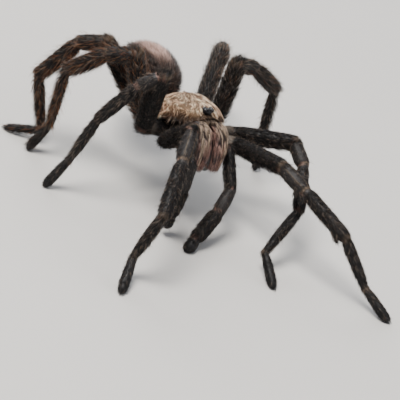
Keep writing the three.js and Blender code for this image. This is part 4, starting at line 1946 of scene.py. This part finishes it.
@dataclass
class Chelicera:
    """One jaw: a stout downward-curving body, a woolly coat combed down it, and a fang.

    Attributes:
        trunk: Where the trunk stands.
        side: Left or right.
        offset: How far its middle line lies from the animal's.
        half_width: Half of its greatest width.
        full_height: The half height from which it has that width.
        line: Guide points of its middle line, as reach forward and height.
        half_heights: Its half heights, evenly spread along it.
        depth: The coat's depth over it.
        squareness: The power of its section, lower for a squarer one.
        steps: Rings along it.
        around: Points in each ring.
        layers: The coat's layers: roots for each square millimetre, and 1 for pale locks or 0 for dark.
        lock_width: The usual width of a lock of hair, in millimetres.
        lock_mess: How far single hairs stray from their lock.
        hair_width: A hair's half width at its root.
        hair_lengths: Shares of the jaw's length, and the hair's length there.
        hair_lifts: The same with the degrees that the hair stands up.
        spread: The coat's unwrap: millimetres for each radian round the jaw, and for its whole length.
        bare_behind: The place along Y behind which the shell hides the jaw.
        bare_inside: The sine of the angle beyond which the other jaw hides it.
        fang_line: Guide points of the fang.
        fang_offset: How far the fang's middle line lies from the animal's.
        fang_radii: Shares of the fang's length, and its radius there.
        fang_steps: Rings along the fang, and points in each.
        mesh: The jaw's body.
        fang: The fang.
    """

    trunk: TrunkPlace
    side: str
    offset: float = 2.06
    half_width: float = 1.9
    full_height: float = 2.2
    line: tuple[tuple[float, float], ...] = ((7.4, 2.0), (11.5, 3.3), (11.1, -5.0))
    half_heights: tuple[float, ...] = (2.3, 2.55, 2.65, 2.55, 2.35, 2.1, 1.7)
    depth: float = 0.42
    squareness: float = 0.78
    steps: int = 26
    around: int = 32
    layers: tuple[tuple[float, float], ...] = ((34.0, 0.0), (66.0, 1.0))
    lock_width: float = 0.13
    lock_mess: float = 0.12
    hair_width: float = 0.034
    hair_lengths: tuple[tuple[float, float], ...] = ((0.0, 1.5), (0.5, 2.0), (0.85, 1.9), (1.0, 1.5))
    hair_lifts: tuple[tuple[float, float], ...] = ((0.0, 9.0), (0.3, 12.0), (0.8, 13.0), (1.0, 16.0))
    spread: tuple[float, float] = (2.1, 1.6)
    bare_behind: float = -7.6
    bare_inside: float = -0.93
    fang_line: tuple[tuple[float, float], ...] = ((9.4, -5.6), (9.0, -7.9), (6.3, -6.7))
    fang_offset: float = 2.0
    fang_radii: tuple[tuple[float, float], ...] = ((0.0, 0.68), (0.3, 0.55), (0.7, 0.34), (1.0, 0.1))
    fang_steps: int = 18
    mesh: bpy.types.Mesh = field(init=False)
    fang: bpy.types.Mesh = field(init=False)

    def guide(self, line: tuple[tuple[float, float], ...], offset: float) -> Array:
        """Guide points of a curve in this jaw's upright plane."""
        return np.array([[SIDES[self.side] * offset, -reach, height] for reach, height in line])

    def tube(self, points: Array, wide: Array, high: Array, around: int, squareness: float = 1.0) -> Shape:
        """A tapering rod with an oval section.

        Args:
            points: Its middle line, in the trunk's frame.
            wide: Its half width at each point.
            high: Its half height.
            around: Points in each ring.
            squareness: The power of its section, lower for a squarer one.

        Returns:
            The closed rod in the whole animal's frame.
        """
        ahead = unit(np.gradient(points, axis=0))
        across = np.array([1.0, 0.0, 0.0])
        up = unit(np.cross(across, ahead))
        angles = turns(around)
        cosine = np.sign(np.cos(angles)) * np.abs(np.cos(angles)) ** squareness
        sine = np.sign(np.sin(angles)) * np.abs(np.sin(angles)) ** squareness
        sideways = wide[:, None, None] * cosine[None, :, None] * across
        upwards = high[:, None, None] * sine[None, :, None] * up[:, None, :]
        end = points[-1] + ahead[-1] * wide[-1] * 0.3
        return self.trunk.stand(Shape.loft(points[:, None, :] + sideways - upwards, points[0], end))

    def build(self) -> None:
        """Make the jaw's body and its curved black fang."""
        points = bezier(self.guide(self.line, self.offset), self.steps)
        place = np.linspace(0.0, 1.0, self.steps)
        heights = np.interp(place, np.linspace(0.0, 1.0, len(self.half_heights)), self.half_heights)
        widths = self.half_width * np.minimum(1.0, heights / self.full_height) - self.depth * 0.8
        body = self.tube(points, widths, heights - self.depth, self.around, self.squareness)
        self.mesh = body.mesh(f"chelicera_{self.side}")
        points = bezier(self.guide(self.fang_line, self.fang_offset), self.fang_steps)
        radii = np.interp(np.linspace(0.0, 1.0, self.fang_steps), *zip(*self.fang_radii))
        self.fang = self.tube(points, radii, radii, self.fang_steps).mesh(f"fang_{self.side}")

    def dress(self) -> list[bpy.types.Object]:
        """Show the jaw, its coat and its fang.

        Returns:
            The pieces.
        """
        side = self.side
        colour = np.tile(Tone.JAW_MAROON.linear() * 0.9, (len(self.mesh.vertices), 1))
        paint(self.mesh, colour * (1.0 + 0.3 * waves(vertices(self.mesh), 0.8, 41)[:, None]))
        body = SkinFinish(f"jaw_{side}", 3600.0, 0.4)
        hair = HairFinish(f"hair_jaw_{side}", 0.45, 0.45, 0.15)
        horn = GlossFinish(f"horn_{side}", 0.18, 0.5)
        rng = np.random.default_rng(JAW_SEEDS[side])
        mesh = Tufts.together(*(self.grow(*layer, rng) for layer in self.layers)).mesh(f"coat_jaw_{side}")
        return [
            piece(f"chelicera_body_{side}", self.mesh, body, (f"chelicera_{side}",)),
            piece(f"coat_jaw_{side}", mesh, hair),
            piece(f"fang_horn_{side}", self.fang, horn, (f"fang_{side}",)),
        ]

    def grow(self, per_mm2: float, bright: float, rng: np.random.Generator) -> Tufts:
        """Comb one layer of hair down the jaw: dark maroon below, long pale locks on top.

        Args:
            per_mm2: Roots for each square millimetre.
            bright: 1 for the pale locks, 0 for the dark hair between them.
            rng: The source of disorder.

        Returns:
            The tufts.
        """
        spread = Scatter.over(self.mesh, per_mm2, int(rng.integers(1000)))
        local = self.trunk.into(spread.points)
        middle = bezier(self.guide(self.line, self.offset), STATIONS)
        ahead = unit(np.gradient(middle, axis=0))
        nearest = np.linalg.norm(local[:, None] - middle[None], axis=2).argmin(1)
        along = nearest / (STATIONS - 1.0)
        offset = local - middle[nearest]
        up = unit(np.cross(np.array([1.0, 0.0, 0.0]), ahead[nearest]))
        angle = np.arctan2(offset[:, 0] * SIDES[self.side], -(offset * up).sum(1))
        arc = np.column_stack([angle * self.spread[0], along * self.spread[1], np.zeros(len(local))])
        wander = 0.12 * waves(arc * [0.3, 2.0, 1.0], 0.5, 58)[:, None]
        locks = waves(arc + wander, self.lock_width, 55) + self.lock_mess * rng.normal(size=len(local))
        keep = (local[:, 1] < self.bare_behind) & (np.sin(angle) > self.bare_inside)
        keep = keep & ((locks > 0.2) | (bright == 0.0))
        spread = spread.picked(keep)
        along, angle, nearest, locks, arc = (row[keep] for row in (along, angle, nearest, locks, arc))
        count = len(along)
        warm = ramp(waves(arc, 0.9, 56) + 1.2 * (along - 0.45), -0.6, 0.6)
        pale = mixed(Tone.JAW_CREAM, Tone.JAW_PINK, warm)
        outer = ramp(np.sin(angle), 0.45, 0.9)
        pale = mixed(pale, Tone.LEG_GREY.linear() * 0.7, 0.85 * outer)
        tint = mixed(Tone.JAW_MAROON, pale, bright * ramp(locks, 0.15, 0.55) + 0.03)
        tint = mixed(tint, Tone.JAW_MAROON, 0.45 * ramp(along, 0.88, 1.0))
        stray = 0.16 * waves(arc, 0.7, 57) * (1.2 - along)
        way = ahead[nearest] + np.outer(stray, [1.0, 0.0, 0.0])
        length = np.interp(along, *zip(*self.hair_lengths)) * (0.6 + 0.45 * bright)
        lift = np.interp(along, *zip(*self.hair_lifts)) * (0.7 + 0.3 * bright)
        return Tufts(
            spread.points,
            spread.normals,
            combed(spread.normals, self.trunk.way(way), 0.03, rng),
            length * rng.uniform(0.65, 1.25, count),
            self.hair_width * rng.uniform(0.8, 1.4, count),
            np.radians(lift * rng.uniform(0.6, 1.4, count)),
            np.radians(lift * rng.uniform(0.6, 1.4, count)),
            tint * rng.uniform(0.5, 0.9, size=(count, 1)),
            tint * rng.uniform(0.75, 1.35, size=(count, 1)),
            np.column_stack([0.05 + 0.9 * along, 0.05 + 0.9 * (angle / (2 * math.pi) + 0.5)]),
        )


@dataclass(frozen=True)
class Eye:
    """One eye, given for the left side."""

    place: tuple[float, float, float]
    radii: tuple[float, float, float]


EYES = (
    Eye((0.42, -6.98, 6.62), (0.31, 0.31, 0.31)),
    Eye((0.94, -6.88, 6.4), (0.34, 0.27, 0.27)),
    Eye((1.04, -6.2, 6.42), (0.26, 0.34, 0.24)),
    Eye((0.7, -6.1, 6.62), (0.2, 0.26, 0.2)),
)


@dataclass
class EyeTubercle:
    """The low mound on the head that carries the eight eyes.

    Attributes:
        trunk: Where the trunk stands.
        centre: The mound's middle.
        radii: Its half sizes.
        socket: How much larger than the eye its socket is.
        sunk: How far inward and down from the eye its socket lies.
        mound: The mound with its sockets.
        eyes: The eyes.
    """

    trunk: TrunkPlace
    centre: tuple[float, float, float] = (0.0, -6.4, 5.84)
    radii: tuple[float, float, float] = (1.16, 0.9, 0.72)
    socket: float = 1.18
    sunk: tuple[float, float] = (0.06, 0.16)
    mound: bpy.types.Mesh = field(init=False)
    eyes: bpy.types.Mesh = field(init=False)

    def build(self) -> None:
        """Make the mound, its sockets and the eyes."""
        mound = [Shape.rounded(np.array(self.centre), np.array(self.radii), 18, 28)]
        beads = []
        for sign in SIDES.values():
            for eye in EYES:
                place, radii = np.array(eye.place) * [sign, 1.0, 1.0], np.array(eye.radii)
                shift = [self.sunk[0] * sign, 0.0, self.sunk[1]]
                mound.append(Shape.rounded(place - shift, radii * self.socket, 12, 20))
                beads.append(Shape.rounded(place, radii, 14, 24))
        self.mound = self.trunk.stand(Shape.joined(mound)).mesh("eye_tubercle")
        self.eyes = self.trunk.stand(Shape.joined(beads)).mesh("eyes")

    def dress(self) -> list[bpy.types.Object]:
        """Show the mound and the eyes.

        Returns:
            The pieces.
        """
        paint(self.mound, np.tile(Tone.TUBERCLE.linear(), (len(self.mound.vertices), 1)))
        skin, gloss = SkinFinish("tubercle_skin", 5200.0, 0.45, 0.4), GlossFinish("eye_gloss", 0.06, 1.0)
        return [
            piece("eye_mound", self.mound, skin, ("eye_tubercle",)),
            piece("eyes", self.eyes, gloss, ("eyes_left", "eyes_right")),
        ]


@dataclass
class Claws:
    """The pair of fine claws at the end of each leg.

    Attributes:
        limbs: The legs.
        length: A claw's length.
        radii: Its radius at the root and at the tip.
        lowest: The least height of its middle line.
        steps: Rings along it, and points in each.
        mesh: All the claws.
    """

    limbs: list[Limb]
    length: float = 0.95
    radii: tuple[float, float] = (0.1, 0.03)
    lowest: float = 0.12
    steps: int = 8
    mesh: bpy.types.Mesh = field(init=False)

    def claw(self, tarsus: Bone, sign: float) -> Shape:
        """One claw.

        Args:
            tarsus: The bone that carries it.
            sign: 1 or -1 for the two sides of the foot.

        Returns:
            The closed claw.
        """
        root = tarsus.end + tarsus.across * 0.3 * sign + tarsus.up * 0.32 + tarsus.ahead * 0.1
        reach = root + tarsus.ahead * self.length * 0.8 + tarsus.up * 0.2
        tip = root + tarsus.ahead * self.length - tarsus.up * 0.25
        points = bezier(np.array([root, reach, tip]), self.steps)
        points[:, 2] = np.maximum(points[:, 2], self.lowest)
        across = np.tile(tarsus.across, (self.steps, 1))
        up = unit(np.cross(across, unit(np.gradient(points, axis=0))))
        radii = np.linspace(*self.radii, self.steps)[:, None, None]
        cosine, sine = (wave(turns(self.steps))[None, :, None] for wave in (np.cos, np.sin))
        rings = points[:, None] + radii * (cosine * across[:, None] - sine * up[:, None])
        return Shape.loft(rings, points[0], points[-1])

    def build(self) -> None:
        """Make all the claws as one mesh."""
        claws = [self.claw(limb.bones[-1], sign) for limb in self.limbs for sign in SIDES.values()]
        self.mesh = Shape.joined(claws).mesh("claws")

    def dress(self) -> list[bpy.types.Object]:
        """Show the claws."""
        return [piece("claws", self.mesh, GlossFinish("claw_horn", 0.3, 0.2))]


# ---------------- the studio


@dataclass(frozen=True)
class Lamp:
    """One soft square light: its place and side in metres, and its power in watts."""

    name: str
    place: tuple[float, float, float]
    size: float
    power: float
    colour: tuple[float, float, float]


LAMPS = (
    Lamp("key", (-0.3, -0.05, 0.8), 0.35, 12.0, (1.0, 0.97, 0.93)),
    Lamp("fill", (0.6, -0.6, 0.45), 0.6, 2.6, (0.92, 0.95, 1.0)),
    Lamp("back", (0.15, 0.7, 0.5), 0.5, 5.0, (0.93, 0.96, 1.0)),
)


@dataclass
class Studio:
    """Pale floor, soft light and the camera.

    Attributes:
        trunk: Where the trunk stands.
        azimuth: The camera's turn round the animal, in degrees.
        elevation: Its height angle.
        roll: Its roll.
        distance: How far it is from the trunk's middle, in millimetres.
        aim: How far right of the trunk's middle and above it the camera aims.
        lens: Its focal length.
        sensor: The width of its sensor.
        half: Half of the floor's side, in metres.
        sky: The colour of the sky.
        sky_power: How bright the sky is.
    """

    trunk: TrunkPlace
    azimuth: float = -35.0
    elevation: float = 27.0
    roll: float = 16.5
    distance: float = 417.0
    aim: tuple[float, float] = (2.95, -17.0)
    lens: float = 172.5
    sensor: float = 36.0
    half: float = 4.0
    sky: tuple[float, float, float] = (0.86, 0.9, 1.0)
    sky_power: float = 0.42

    def floor(self) -> None:
        """Lay the floor."""
        mesh = bpy.data.meshes.new("floor")
        corners = [(x * self.half, y * self.half, 0.0) for x, y in ((-1, -1), (1, -1), (1, 1), (-1, 1))]
        mesh.from_pydata(corners, [], [(0, 1, 2, 3)])
        mesh.materials.append(FloorFinish("studio_floor").material())
        shown = placed("floor", mesh)

    def camera(self) -> None:
        """Place the camera, turned with the animal."""
        azimuth, elevation, roll = map(math.radians, (self.azimuth, self.elevation, self.roll))
        flat = math.cos(elevation)
        back = Vector((math.sin(azimuth) * flat, -math.cos(azimuth) * flat, math.sin(elevation)))
        level = Vector((math.cos(azimuth), math.sin(azimuth), 0.0))
        lifted = back.cross(level)
        right = level * math.cos(roll) + lifted * math.sin(roll)
        up = lifted * math.cos(roll) - level * math.sin(roll)
        centre = Vector(self.trunk.origin)
        place = centre + back * self.distance
        aim = centre + right * self.aim[0] + up * self.aim[1]
        look = (place - aim).normalized()
        side = up.cross(look).normalized()
        over = look.cross(side)
        data = bpy.data.cameras.new("camera")
        data.lens, data.sensor_width = self.lens, self.sensor
        data.clip_start, data.clip_end = 0.01, 20.0
        shown = placed("camera", data)
        turn = Matrix((side, over, look)).transposed().to_4x4()
        shown.matrix_world = Matrix.Translation(place * MM) @ turn
        bpy.context.scene.camera = shown

    def light(self, lamp: Lamp) -> None:
        """Hang one light that faces the animal.

        Args:
            lamp: Which light.
        """
        data = bpy.data.lights.new(lamp.name, "AREA")
        data.size, data.energy, data.color = lamp.size, lamp.power, lamp.colour
        shown = placed(lamp.name, data)
        shown.location = lamp.place
        toward = Vector(self.trunk.origin) * MM - Vector(lamp.place)
        shown.rotation_euler = toward.to_track_quat("-Z", "Y").to_euler()

    def build(self) -> None:
        """Set up floor, camera, lights and sky."""
        self.floor()
        self.camera()
        for lamp in LAMPS:
            self.light(lamp)
        world = bpy.data.worlds.new("sky")
        world.use_nodes = True
        background = world.node_tree.nodes["Background"]
        background.inputs["Color"].default_value = (*self.sky, 1.0)
        background.inputs["Strength"].default_value = self.sky_power
        bpy.context.scene.world = world


# ---------------- the whole animal


def limbs_of(trunk: TrunkPlace) -> list[Limb]:
    """All legs and palps, read off the solids.

    Args:
        trunk: Where the trunk stands.

    Returns:
        The limbs, the left side first.
    """
    limbs = []
    for side in SIDES:
        limbs.extend(Limb(f"leg_{side}_{pair}", pair, LEG_PARTS) for pair in range(1, 5))
        limbs.append(Limb(f"palp_{side}", 0, PALP_PARTS, coxa_radius=1.5))
    for limb in limbs:
        limb.read(trunk)
    return limbs


def report(pieces: list[bpy.types.Object]) -> None:
    """Say how many faces each piece has."""
    for shown in pieces:
        LOG.info("%s: %d faces", shown.name, len(shown.data.polygons))


def main() -> None:
    """Build and dress the animal piece by piece, in the studio."""
    trunk = TrunkPlace()
    Studio(trunk).build()
    limbs = limbs_of(trunk)
    skin = Skin(trunk, limbs)
    skin.lay_out()
    carapace = Carapace(trunk)
    jaws = [Chelicera(trunk, side) for side in SIDES]
    claws = Claws([limb for limb in limbs if limb.pair])
    for part in (skin, carapace, *jaws, EyeTubercle(trunk), claws):
        part.build()
        report(part.dress())
    coat = BodyCoat(skin)
    coat.build(carapace)
    report(coat.dress())


if __name__ == "__main__":
    main()
